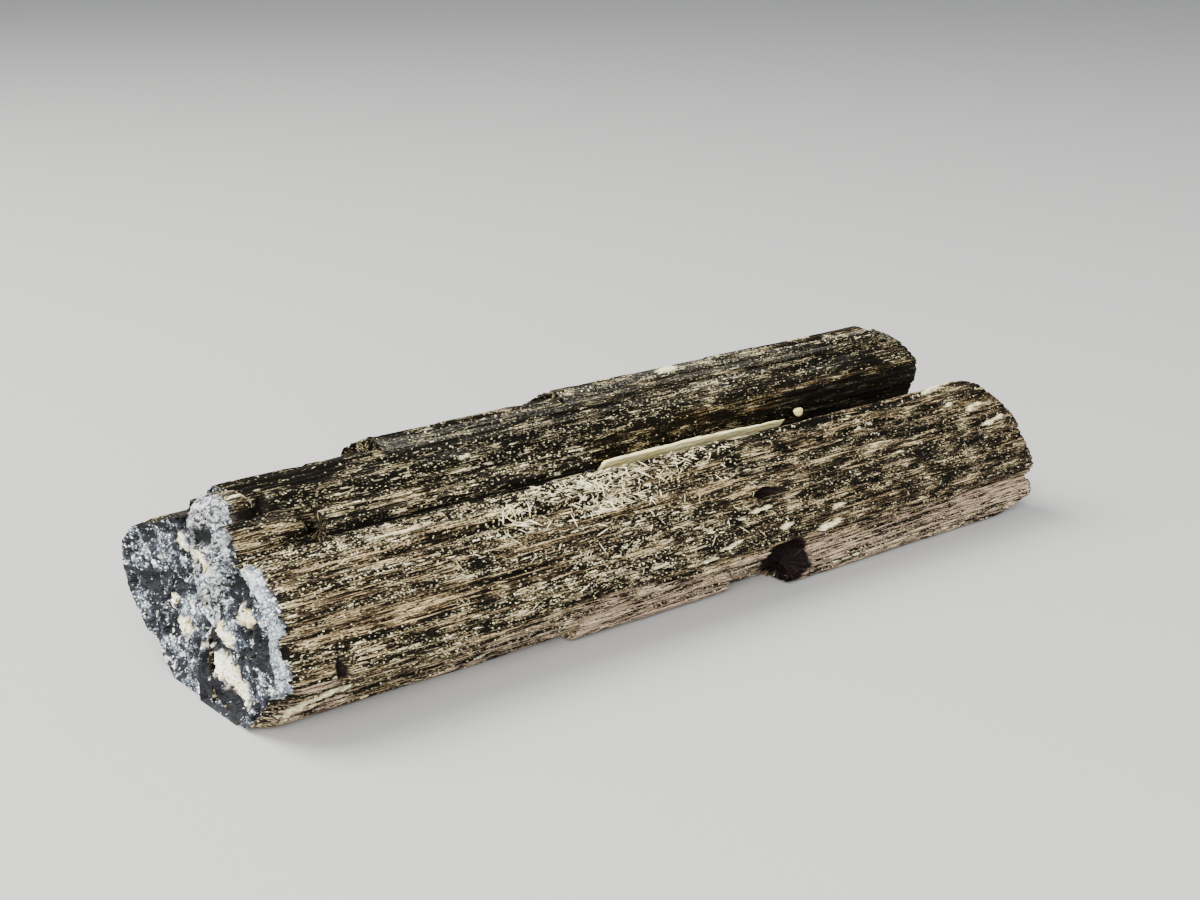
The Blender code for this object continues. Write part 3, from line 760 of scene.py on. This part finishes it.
def skin_piece(name, made, order):
    """The mesh of one skin. The middle of each fracture is the mean of its smallest ring."""
    points, (rows, columns) = made["points"], made["points"].shape[:2]

    def with_poles(values):
        flat = values.reshape(rows * columns, -1)
        return np.concatenate((flat[:columns].mean(axis=0)[None], flat, flat[-columns:].mean(axis=0)[None]))

    grain = np.stack((points[..., 0], made["around"], np.full((rows, columns), 7.0 * order)), axis=-1)
    measures = {label: with_poles(made[label])[:, 0] for label in MEASURES}
    faces = ring_faces(rows, columns)
    piece = mesh_piece(name, with_poles(points), faces, measures, with_poles(grain))
    ring_part = made["part"]
    broken = np.repeat((ring_part[:-1] != 1) | (ring_part[1:] != 1), columns)
    broken = np.concatenate((broken, np.ones(2 * columns, bool)))
    bevelled = (made["rim_light"][:-1].ravel() > 0.3) & ~broken[:(rows - 1) * columns]
    finish = broken.copy()
    finish[:(rows - 1) * columns] |= bevelled
    if name in INNER_ENDS:
        near_end = np.concatenate((np.repeat(ring_part[:-1] == 0, columns), np.ones(columns, bool),
                                   np.zeros(columns, bool)))
        finish &= ~near_end
    piece.data.polygons.foreach_set("material_index", finish.astype(np.int32))
    piece.data.polygons.foreach_set("use_smooth", ~broken)
    return piece


PIECES = {name: skin_piece(name, made, order) for order, (name, made) in enumerate(SKINS.items())}
for name, piece in PIECES.items():
    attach(piece, "root")
    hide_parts("tourmaline_crystal")
triangles = {name: sum(len(face.vertices) - 2 for face in piece.data.polygons)
             for name, piece in PIECES.items()}
print("triangles:", triangles, "in all", sum(triangles.values()))

# %% [markdown]
# ## The feldspar sliver in the open groove
#
# The longest sliver stands free in the groove between the front and the rear prism. It is a thin plate, so
# it is a profile carried along x, whose edges wander and whose ends thin out.

# %% The free sliver
SEAM_OUTLINE = ((6.5, 19.7), (7.1, 20.3), (4.95, 22.9), (4.3, 22.95), (4.1, 22.5))
SEAM_START = 57.9
SEAM_LENGTH = 35.6
SEAM_STEP = 0.16
SEAM_STATIONS = 160


def seam_grid(rng):
    """The plate: its outline, cut finely, scaled at each station towards its middle, less a rough relief."""
    corners, normals, _ = outline_columns(SEAM_OUTLINE, (0, len(SEAM_OUTLINE)))
    gaps = np.linalg.norm(np.roll(corners, -1, axis=0) - corners, axis=1)
    beside = fine_places(gaps, np.full(len(gaps), SEAM_STEP))
    outline = blend_rows(np.concatenate((corners, corners[:1])), beside)
    normal = blend_rows(np.concatenate((normals, normals[:1])), beside)
    share = np.linspace(0.0, 1.0, SEAM_STATIONS)[:, None]
    full = np.minimum(1.0, 0.92 + share) * np.minimum(1.0, 0.45 + 1.1 * (1.0 - share))
    full = full * (0.96 + 0.04 * np.sin(27.0 * share + 1.5))
    around = np.broadcast_to(np.arange(len(beside)) * SEAM_STEP, (SEAM_STATIONS, len(beside)))
    along = np.broadcast_to(SEAM_START + share * SEAM_LENGTH, around.shape)
    rough = 0.16 * lattice(around, along, 0.6, 3.2, rng) + 0.12 * lattice(around, along, 0.3, 0.8, rng)
    middle = outline.mean(axis=0)
    across = middle + (outline - middle) * full[..., None] - normal * rough[..., None]
    return np.concatenate((along[..., None], across), axis=-1)


grid = seam_grid(np.random.default_rng(SEED + 600))
flat = grid.reshape(-1, 3)
flat = np.concatenate((grid[0].mean(axis=0)[None], flat, grid[-1].mean(axis=0)[None]))
sliver = mesh_piece("feldspar_sliver", flat, ring_faces(*grid.shape[:2]))
sliver.data.polygons.foreach_set("use_smooth", np.ones(len(sliver.data.polygons), bool))
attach(sliver, "root")
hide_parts("feldspar_seam")
print("sliver points:", len(flat))

# %% [markdown]
# ## Loose needles and a bead
#
# Fine pale needles lie crosswise over the front prism's upper face, in a felt that is thick in the middle.
# Hair would be slow and couldn't be kept as a solid, so each needle is a thin rod: a ring of corners carried
# along a nearly straight line between two places on the skin, lifted where ribs stand in its way. All the
# needles are made at once, as one array. The bead is a ball whose radius wanders a little.

# %% Needles
NEEDLE_SIDES = 5
NEEDLE_STEPS = 6
# x range, then (y, z) of the upper and lower edge of the patch, and how many needles lie in it.
NEEDLE_PATCHES = (
    ((34.0, 42.0), (-1.0, 22.8), (-4.3, 19.6), 60), ((44.0, 64.0), (2.0, 22.9), (-4.6, 19.2), 210),
    ((58.0, 82.0), (2.4, 22.9), (-2.4, 21.3), 80), ((16.0, 100.0), (1.0, 22.9), (-6.8, 9.0), 120),
)
FRONT = {label: SKINS["front_prism"][label][SKINS["front_prism"]["part"] == 1]
         for label in ("points", "base", "inwards", "around")}


def on_front(x, arc):
    """The skin's point and its outward direction at a distance along x and around the outline."""
    rows = np.interp(x, FRONT["points"][..., 0].mean(axis=1), np.arange(len(FRONT["points"])))
    columns = np.interp(arc, FRONT["around"][0], np.arange(FRONT["around"].shape[1]))
    row, column = np.round(rows).astype(int), np.round(columns).astype(int)
    return FRONT["points"][row, column], -FRONT["inwards"][row, column]


def rods(paths, outward, radius):
    """Rings of corners round each path: the radius times the two directions across it, thin at both ends."""
    along = np.gradient(paths, axis=1)
    along /= np.linalg.norm(along, axis=-1)[..., None]
    side = np.cross(along, outward)
    side /= np.linalg.norm(side, axis=-1)[..., None]
    up = np.cross(side, along)
    turn = np.linspace(0.0, 2.0 * math.pi, NEEDLE_SIDES, endpoint=False)
    taper = np.sin(np.linspace(0.35, math.pi - 0.35, paths.shape[1]))[None, :, None, None]
    ring = (side[:, :, None] * np.cos(turn)[:, None] + up[:, :, None] * np.sin(turn)[:, None])
    return paths[:, :, None] + ring * radius[:, None, None, None] * taper


def rod_mesh(rings):
    """Points and faces of closed rods: each has a pole at either end of its rings."""
    count, steps, sides = rings.shape[:3]
    ends = rings[:, [0, -1]].mean(axis=2)
    each = np.concatenate((ends[:, :1], rings.reshape(count, steps * sides, 3), ends[:, 1:]), axis=1)
    shifts = np.arange(count)[:, None, None] * each.shape[1]
    faces = [(kind + shifts).reshape(-1, kind.shape[-1]) for kind in ring_faces(steps, sides)]
    return each.reshape(-1, 3), faces


def needle_patch(x_range, upper, lower, count, rng):
    """Needles at random places between two lines on the skin, most of them across it at a slant."""
    outline = FRONT["base"][0, :, 1:]
    edges = [FRONT["around"][0][np.linalg.norm(outline - edge, axis=1).argmin()] for edge in (upper, lower)]
    middle = 0.5 * (rng.random(count) + rng.random(count))
    x = x_range[0] + middle * (x_range[1] - x_range[0])
    arc = rng.uniform(*sorted(edges), count)
    slant = rng.uniform(-1.2, 1.2, count) + np.where(rng.random(count) < 0.3, math.pi / 2, 0.0)
    length = 0.5 + 1.8 * rng.random(count) ** 2
    reach = np.linspace(-0.5, 0.5, NEEDLE_STEPS)
    x = x[:, None] + length[:, None] * reach * np.cos(slant)[:, None]
    arc = arc[:, None] + length[:, None] * reach * np.sin(slant)[:, None]
    points, outward = on_front(x, arc)
    ends = points[:, :1] * (1.0 - reach[:, None] - 0.5) + points[:, -1:] * (reach[:, None] + 0.5)
    lift = np.maximum(((points - ends) * outward).sum(axis=-1).max(axis=1), 0.0)[:, None, None]
    paths = ends + (0.05 + 0.7 * lift + 0.04 * np.sin(np.pi * (reach + 0.5))[:, None]) * outward
    return rods(paths, outward, 0.035 + 0.08 * rng.random(count) ** 2)


needle_rng = np.random.default_rng(SEED + 700)
needle_rings = np.concatenate([needle_patch(*patch, needle_rng) for patch in NEEDLE_PATCHES])
needles = mesh_piece("feldspar_needles", *rod_mesh(needle_rings))
print("needles:", len(needle_rings))

# %% Bead
BEAD_MIDDLE = (97.4, 6.0, 22.3)
BEAD_RADIUS = 0.75


def lumpy_ball(middle, radius, rng, rows=24, columns=36):
    """A ball's rings: the sine and cosine of the two angles, times a radius that wanders."""
    down, turn = np.meshgrid(np.linspace(0.0, math.pi, rows + 2)[1:-1],
                             np.linspace(0.0, 2.0 * math.pi, columns, endpoint=False), indexing="ij")
    wander = radius * (1.0 + 0.12 * np.sin(3.0 * turn + 1.0) * np.sin(down) + 0.1 * np.cos(2.0 * down))
    wander = wander * (1.0 - 0.08 * rng.random(down.shape))
    rings = np.stack((np.cos(down), np.sin(down) * np.cos(turn), np.sin(down) * np.sin(turn)), axis=-1)
    return np.array(middle) + rings * wander[..., None] * (-1.0, 1.0, 1.0)


bead = mesh_piece("feldspar_bead", *rod_mesh(lumpy_ball(BEAD_MIDDLE, BEAD_RADIUS, needle_rng)[None]))
for piece in (needles, bead):
    piece.data.polygons.foreach_set("use_smooth", np.ones(len(piece.data.polygons), bool))
    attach(piece, "root")
    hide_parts("feldspar_seam")
print("bead points:", len(bead.data.vertices))

# %% [markdown]
# ## Shader sums
#
# A material here is written as sums. The small class below wraps one socket, so that an expression on two
# values adds the Math node that works it out. Any other node comes from its one method, node().

# %% Sums on sockets


class Wire:
    """A socket in a material's nodes. Arithmetic on it adds Math nodes."""

    def __init__(self, tree, socket=None):
        self.tree, self.socket = tree, socket

    def node(self, kind, settings=None, inputs=None, output=0):
        """A node of a type, its settings first and then the values or links of its sockets."""
        made = self.tree.nodes.new(kind)
        for label, value in (settings or {}).items():
            if label == "stops":
                for place, shade in value[2:]:
                    made.color_ramp.elements.new(place)
                for stop, (place, shade) in zip(made.color_ramp.elements, value):
                    stop.position, stop.color = place, shade
            else:
                setattr(made, label, value)
        for label, value in (inputs or {}).items():
            if isinstance(value, Wire):
                self.tree.links.new(value.socket, made.inputs[label])
            else:
                made.inputs[label].default_value = value
        return Wire(self.tree, made.outputs[output])

    def math(self, operation, first, second):
        return self.node("ShaderNodeMath", {"operation": operation}, {0: first, 1: second})

    def larger(self, other):
        return self.math("MAXIMUM", self, other)

    def __add__(self, other):
        return self.math("ADD", self, other)

    def __radd__(self, other):
        return self.math("ADD", other, self)

    def __sub__(self, other):
        return self.math("SUBTRACT", self, other)

    def __rsub__(self, other):
        return self.math("SUBTRACT", other, self)

    def __mul__(self, other):
        return self.math("MULTIPLY", self, other)

    def __rmul__(self, other):
        return self.math("MULTIPLY", other, self)

    def step(self, low, high):
        """0 below low, 1 above high, and an S-curve between."""
        return self.node("ShaderNodeMapRange", {"interpolation_type": "SMOOTHSTEP"},
                         {"Value": self, "From Min": low, "From Max": high})

    def ramp(self, stops):
        """The colours of the stops, (place, colour) in order, at this level."""
        return self.node("ShaderNodeValToRGB", {"stops": stops}, {"Fac": self})

    def mix(self, first, second):
        """The first colour where this is 0, and the second where it is 1."""
        return self.node("ShaderNodeMix", {"data_type": "RGBA"}, {0: self, 6: first, 7: second}, output=2)

    def measure(self, label):
        """One of the piece's own attributes."""
        return self.node("ShaderNodeAttribute", {"attribute_name": label}, output=2)

    def place(self):
        """The place along the prism and around it, in mm."""
        return self.node("ShaderNodeAttribute", {"attribute_name": "grain"}, output=1)

    def stretched(self, x, y, z):
        """A place scaled along each axis."""
        return self.node("ShaderNodeVectorMath", {"operation": "MULTIPLY"}, {0: self, 1: (x, y, z)})

    def noise(self, scale, detail=2.0, roughness=0.5):
        """Soft noise from 0 to 1, with that many features in a mm."""
        return self.node("ShaderNodeTexNoise", {"noise_dimensions": "3D"},
                         {"Vector": self, "Scale": scale, "Detail": detail, "Roughness": roughness})

    def crumbs(self, scale, share, size, uneven=0.0):
        """Crumbs near the middle of a cell, in the share of cells whose random colour is high. What is
        uneven moves their outlines."""
        settings = {"voronoi_dimensions": "3D", "feature": "F1"}
        inputs = {"Vector": self, "Scale": scale}
        away = self.node("ShaderNodeTexVoronoi", settings, inputs, output=0)
        colour = self.node("ShaderNodeTexVoronoi", settings, inputs, output=1)
        chance = self.node("ShaderNodeSeparateColor", {}, {"Color": colour}, output=0)
        return (1.0 - (away + uneven).step(size * 0.7, size)) * (chance + share).step(0.98, 1.0)


def colour(red, green, blue):
    """A colour given as it looks on a screen, from 0 to 255, as the linear values that nodes use."""
    levels = np.array((red, green, blue)) / 255.0
    linear = np.where(levels <= 0.04045, levels / 12.92, ((levels + 0.055) / 1.055) ** 2.4)
    return (*linear.tolist(), 1.0)


def new_material(name):
    """A material with its shader, and a wire to start its sums from."""
    material = bpy.data.materials.new(name)
    material.use_nodes = True
    tree = material.node_tree
    return material, tree.nodes["Principled BSDF"], Wire(tree)


def feed(shader, base, roughness, normal):
    """Links a material's colour, roughness and bump to its shader."""
    tree = base.tree
    tree.links.new(base.socket, shader.inputs["Base Color"])
    tree.links.new(roughness.socket, shader.inputs["Roughness"])
    tree.links.new(normal.socket, shader.inputs["Normal"])


def layered(base, coats):
    """Colours laid over a base in order, each where its own cover is high."""
    for cover, shade in coats:
        base = cover.mix(base, shade)
    return base


print("a mid grey is", np.round(colour(128, 128, 128), 3))

# %% [markdown]
# ## Striated faces
#
# Schorl is black, but these faces are dulled by a brownish film on every rib, and the black shows where the
# film is worn off, in the bands, and in the grooves, which painted shade darkens the more the deeper they
# are.
# So the finish is one level, from bare black to thick film: painted shade in the grooves and shaded places,
# bands and thin dark lines lower it, and noises drawn out along the prism move it up and down. A ramp turns
# the level into colours. Worn film with painted bounce light, frost, pale streaks, crumbs, painted shade in
# pits and feldspar are laid over it in that order, each where its own measure is high. One function makes
# the finish, and each part of the bundle has its own film colour, level and share of crumbs.

# %% Striated material
CREAM = colour(246, 231, 172)
PALE_CREAM = colour(253, 247, 214)


def crumb_cover(place, dust, lines, uneven):
    """Dashes along the grooves, rounder crumbs and the finest dust, each denser where the dust is."""
    dashes = place.stretched(0.16, 1.0, 1.0).crumbs(2.9, dust * 0.42, 0.40, uneven)
    dots = place.stretched(0.60, 1.0, 1.0).crumbs(3.9, dust * 0.36 + 0.06, 0.44, uneven)
    fine = place.stretched(0.35, 1.0, 1.0).crumbs(6.2, dust * 0.40 + 0.06, 0.46)
    return (dashes * lines).larger(dots * lines), fine * lines


def thin_lines(place, along, scale, width):
    """1 where a drawn-out noise crosses its middle value: long thin lines that fork, as striations do."""
    away = place.stretched(along, 1.0, 1.0).noise(scale, 1.0, 0.5) - 0.5
    return away.larger(0.0 - away).step(width, 0.35 * width)


def film_level(start, place, noises, bias):
    """From bare black, 0, to thick film, 1: noises, less painted shade by the grooves' depth, bands, thin
    dark lines and painted shade.
    """
    lines, hairs, grit, mottle = noises
    dark = thin_lines(place, 0.020, 1.3, 0.030).larger(thin_lines(place, 0.035, 2.9, 0.034))
    level = (lines - 0.5) * 2.9 + (hairs - 0.5) * 3.6 + (grit - 0.5) * 1.7 + (mottle - 0.5) * 1.3
    level = level - start.measure("groove") * 0.50 - start.measure("band") * 0.36 - dark * 0.46
    return level - start.measure("shade") * 0.9 + (0.49 + bias), dark


def film_colour(start, level, film):
    """The level's colours: black, three depths of the film and pale film, or olive where that is high."""
    shades = [tuple(v * share for v in film[:3]) + (1.0,) for share in (0.30, 0.68, 1.0)]
    base = level.ramp((
        (0.0, colour(9, 7, 3)), (0.24, colour(21, 17, 9)), (0.42, shades[0]), (0.60, shades[1]),
        (0.80, shades[2]), (1.0, colour(188, 166, 126))))
    return start.measure("olive").mix(base, level.ramp((
        (0.0, colour(13, 10, 5)), (0.35, colour(55, 41, 19)), (0.70, colour(96, 76, 40)),
        (1.0, colour(130, 108, 64)))))


def striated(name, film, bias, dustiness):
    """Film over black by one level, raised by the bias, then worn film with painted bounce light, frost,
    streaks, crumbs and painted shade in pits.
    """
    material, shader, start = new_material(name)
    place = start.place()
    lines = place.stretched(0.028, 1.0, 1.0).noise(2.1, 3.0, 0.6)
    hairs = place.stretched(0.045, 1.0, 1.0).noise(6.0, 2.0, 0.6)
    grit = place.stretched(0.45, 1.0, 1.0).noise(5.0, 2.0, 0.6)
    mottle = place.stretched(0.30, 1.0, 1.0).noise(0.6, 3.0, 0.55)
    level, dark = film_level(start, place, (lines, hairs, grit, mottle), bias)
    lit = 1.0 - start.measure("shade")
    pale = thin_lines(place, 0.030, 1.9, 0.018).larger(thin_lines(place, 0.050, 3.7, 0.022))
    trail = (lines * 0.6 + hairs * 0.4).step(0.56, 0.46)
    dust = start.measure("dust") * dustiness - 0.25 * (1.0 - dustiness)
    crumbs, fine = crumb_cover(place, dust, (trail * 0.7 + 0.3) * lit, (grit - 0.5) * 0.9)
    base = layered(film_colour(start, level, film), (
        # worn film and painted bounce light from the floor
        (start.measure("wear") * (level + grit).step(0.60, 1.05) * 0.85,
         hairs.step(0.36, 0.62).mix(colour(74, 57, 47), colour(198, 172, 147))),
        (start.measure("frost") * (grit * 0.7 + hairs * 0.5).step(0.52, 0.70) * 0.6, colour(132, 128, 118)),
        (pale * (grit * 0.6 + mottle * 0.8).step(0.70, 0.84) * lit * 0.9, colour(238, 220, 172)),
        (fine * 0.6, colour(224, 211, 165)),
        (crumbs, hairs.step(0.35, 0.6).mix(CREAM, PALE_CREAM)),
        # painted shade in pits
        (start.measure("pit"), grit.step(0.40, 0.80).mix(colour(4, 3, 3), colour(40, 22, 20))),
        ((start.measure("rim_light") + grit * 0.8).step(0.60, 0.95),
         (grit * 0.6 + hairs * 0.4).step(0.36, 0.62).mix(colour(88, 94, 102), colour(196, 202, 204))),
        (start.measure("cream") * (grit + 0.5 * hairs).step(0.45, 0.68),
         grit.step(0.4, 0.65).mix(colour(228, 216, 156), PALE_CREAM))))
    bump = start.node("ShaderNodeBump", {}, {
        "Height": hairs * 0.8 + grit * 0.5 + crumbs * 0.4 - dark * 0.6, "Strength": 0.8,
        "Distance": 0.12 * MM})
    feed(shader, base, 0.74 - 0.34 * level.step(0.3, 0.9), bump)
    shader.inputs["Specular IOR Level"].default_value = 0.10
    return material


# The ledge's film is lighter and pinker than the front's: its own tone with painted bounce light from the
# floor.
FILMS = {
    "front": striated("front_film", colour(106, 88, 62), -0.02, 0.9),
    "ledge": striated("ledge_film_and_bounce_light", colour(130, 106, 87), 0.08, 0.7),
    "rear": striated("rear_film", colour(80, 66, 44), -0.38, 0.5),
    "near lath": striated("near_lath_film", colour(90, 76, 52), -0.12, 0.6),
    "long lath": striated("long_lath_film", colour(80, 67, 46), -0.26, 0.8),
    "back": striated("back_film", colour(88, 75, 56), -0.24, 0.6),
}
FILM_OF = {
    "front_prism": "front", "foot_ledge": "ledge", "foot_step": "ledge", "back_prism": "back",
    "rear_prism": "rear", "rear_knob": "near lath", "rear_ridge": "rear", "rear_crest": "rear",
    "back_rib": "back", "shoulder_rib": "back", "rear_rib": "back", "near_lath": "near lath",
    "long_lath": "long lath",
}
print("finishes:", sorted(FILMS))

# %% [markdown]
# ## Broken ends
#
# A fresh fracture of schorl is glassy and granular: blue-black grains that glint, with white grains of
# quartz and feldspar between them. The grains' shapes are already in the mesh, so the material adds tones
# of four sizes, from clouds to specks. The loose feldspar has a finish of its own, in three shades: yellow
# for the sliver, made as bright as it goes as painted light, since it lies in shade, pale for the needles,
# and darker for the bead, as painted shade, since it lies in direct light.

# %% Fracture material


def fractured():
    """Grains of slate blue and black, white grains, the pale rim, the cream patches, and painted shade in
    hollows and pits.
    """
    material, shader, start = new_material("fracture")
    place = start.node("ShaderNodeTexCoord", {}, output=3).stretched(1 / MM, 1 / MM, 1 / MM)
    broad = place.noise(0.22, 2.0, 0.5)
    cloud = place.noise(0.70, 2.0, 0.55)
    grit = place.noise(2.0, 3.0, 0.65)
    fine = place.noise(5.5, 2.0, 0.6)
    shade, rim = start.measure("shade"), start.measure("rim_light")
    tone = (broad - 0.5) * 2.8 + (cloud - 0.5) * 2.8 + (grit - 0.5) * 2.2 + (fine - 0.5) * 1.0
    # painted shade darkens the tone, and the pale rim lightens it
    tone = tone + 0.13 - shade * 0.60 + rim * 0.60
    base = tone.ramp((
        (0.0, colour(17, 19, 24)), (0.25, colour(45, 50, 59)), (0.48, colour(63, 70, 80)),
        (0.74, colour(92, 100, 108)), (1.0, colour(146, 154, 160))))
    base = layered(base, (
        (place.crumbs(4.4, tone * 0.60 + 0.02, 0.50) * 0.8, colour(208, 213, 214)),
        (place.crumbs(2.2, tone * 0.60 + 0.02, 0.50) * 0.95, colour(240, 243, 240)),
        (place.crumbs(1.0, tone * 0.50 + 0.02, 0.50) * (grit + fine).step(0.85, 1.1),
         colour(254, 254, 248)),
        (rim * (grit + fine).step(0.75, 1.15) * 0.6, colour(144, 154, 164)),
        # painted shade in pits
        (start.measure("pit"), colour(16, 13, 12)),
        (start.measure("cream") * (grit * 1.4 + fine).step(0.90, 1.12),
         (cloud * 0.5 + grit * 0.5).step(0.36, 0.56).mix(colour(244, 222, 146), colour(255, 253, 238))),
        (start.measure("frost") * grit.step(0.42, 0.6) * 0.7, colour(226, 228, 226))))
    bump = start.node("ShaderNodeBump", {}, {
        "Height": grit + fine * 0.6, "Strength": 0.7, "Distance": 0.2 * MM})
    feed(shader, base, 0.30 + 0.5 * grit, bump)
    shader.inputs["Specular IOR Level"].default_value = 0.25
    return material


def feldspar(name, low, high):
    """Feldspar between two colours, with faint cleavage lines along it and a waxy gloss."""
    material, shader, start = new_material(name)
    place = start.node("ShaderNodeTexCoord", {}, output=3).stretched(1 / MM, 1 / MM, 1 / MM)
    lines = place.stretched(0.12, 1.0, 1.0).noise(3.0, 3.0, 0.6)
    grit = place.noise(4.0, 2.0, 0.6)
    base = (lines * 0.7 + grit * 0.3).step(0.38, 0.62).mix(low, high)
    base = (lines * 0.5 + grit * 0.5).step(0.62, 0.74).mix(base, colour(176, 150, 96))
    bump = start.node("ShaderNodeBump", {}, {
        "Height": lines + grit * 0.4, "Strength": 0.4, "Distance": 0.1 * MM})
    feed(shader, base, 0.35 + 0.3 * grit, bump)
    return material


FRACTURE = fractured()
# The bead's copy is darker as painted shade, and the sliver's copy is made as bright as it goes as painted
# light.
BEAD_YELLOW_PAINTED_SHADE = feldspar("bead_feldspar_painted_shade", colour(206, 190, 112), colour(232, 220, 150))
YELLOW_PAINTED_LIGHT = feldspar("yellow_feldspar_painted_light", colour(248, 230, 146), colour(255, 250, 204))
PALE = feldspar("pale_feldspar", colour(236, 220, 160), colour(253, 247, 214))
for name, piece in PIECES.items():
    piece.data.materials.append(FILMS[FILM_OF[name]])
    piece.data.materials.append(FRACTURE)
for piece, finish in ((sliver, YELLOW_PAINTED_LIGHT), (needles, PALE), (bead, BEAD_YELLOW_PAINTED_SHADE)):
    piece.data.materials.append(finish)
print("materials:", len(bpy.data.materials))

# %% [markdown]
# ## Table, light and camera
#
# The stage is plain. A large soft lamp above and behind lights the top and the near fracture, a wider one
# in front brings out the crumbs on the long face, and the pale floor throws light back from below.

# %% Stage
FLOOR_HALF = 3.0
FLOOR_COLOUR = (0.46, 0.46, 0.45, 1.0)
CAMERA_PLACE = (-164.06, -195.42, 98.68)
CAMERA_DOWN, CAMERA_TURN = 17.2815, -39.275      # degrees below level, and about the upright
CAMERA_LENS = 54.0


def stage_floor():
    """A plain pale floor, one square with its top at the height of the base."""
    mesh = bpy.data.meshes.new("floor")
    half = FLOOR_HALF
    corners = [(-half, -half, 0.0), (half, -half, 0.0), (half, half, 0.0), (-half, half, 0.0)]
    mesh.from_pydata(corners, [], [(0, 1, 2, 3)])
    floor = bpy.data.objects.new("floor", mesh)
    bpy.context.scene.collection.objects.link(floor)
    material, shader, _ = new_material("floor_paper")
    shader.inputs["Base Color"].default_value = FLOOR_COLOUR
    shader.inputs["Roughness"].default_value = 0.85
    mesh.materials.append(material)
    return floor


def soft_lamp(name, place, aim, size, power, tint):
    """A square area lamp at a place, turned to face its aim."""
    lamp = bpy.data.lights.new(name, "AREA")
    lamp.size, lamp.energy, lamp.color = size, power, tint
    holder = bpy.data.objects.new(name, lamp)
    holder.location = place
    from_aim = np.subtract(place, aim)
    holder.rotation_euler = (math.acos(from_aim[2] / np.linalg.norm(from_aim)), 0.0,
                             math.atan2(from_aim[1], from_aim[0]) + math.pi / 2)
    bpy.context.scene.collection.objects.link(holder)
    return holder


stage_floor()
soft_lamp("key", (-0.45, 0.35, 0.75), (0.0, 0.0, 0.0), 0.6, 20.5, (1.0, 0.98, 0.94))
soft_lamp("fill", (-0.55, -0.65, 0.45), (0.0, 0.0, 0.02), 0.8, 20.0, (1.0, 0.99, 0.97))
world = bpy.data.worlds.new("studio")
world.use_nodes = True
sky = world.node_tree.nodes["Background"]
sky.inputs["Color"].default_value = (0.92, 0.94, 1.0, 1.0)
sky.inputs["Strength"].default_value = 0.62
bpy.context.scene.world = world
camera_data = bpy.data.cameras.new("camera")
camera_data.lens, camera_data.sensor_width = CAMERA_LENS, 36.0
camera_data.clip_start = 0.01
camera = bpy.data.objects.new("camera", camera_data)
camera.location = np.array(CAMERA_PLACE) * MM
camera.rotation_euler = (math.radians(90.0 - CAMERA_DOWN), 0.0, math.radians(CAMERA_TURN))
bpy.context.scene.collection.objects.link(camera)
bpy.context.scene.camera = camera
print("camera at", np.round(camera.location, 3))
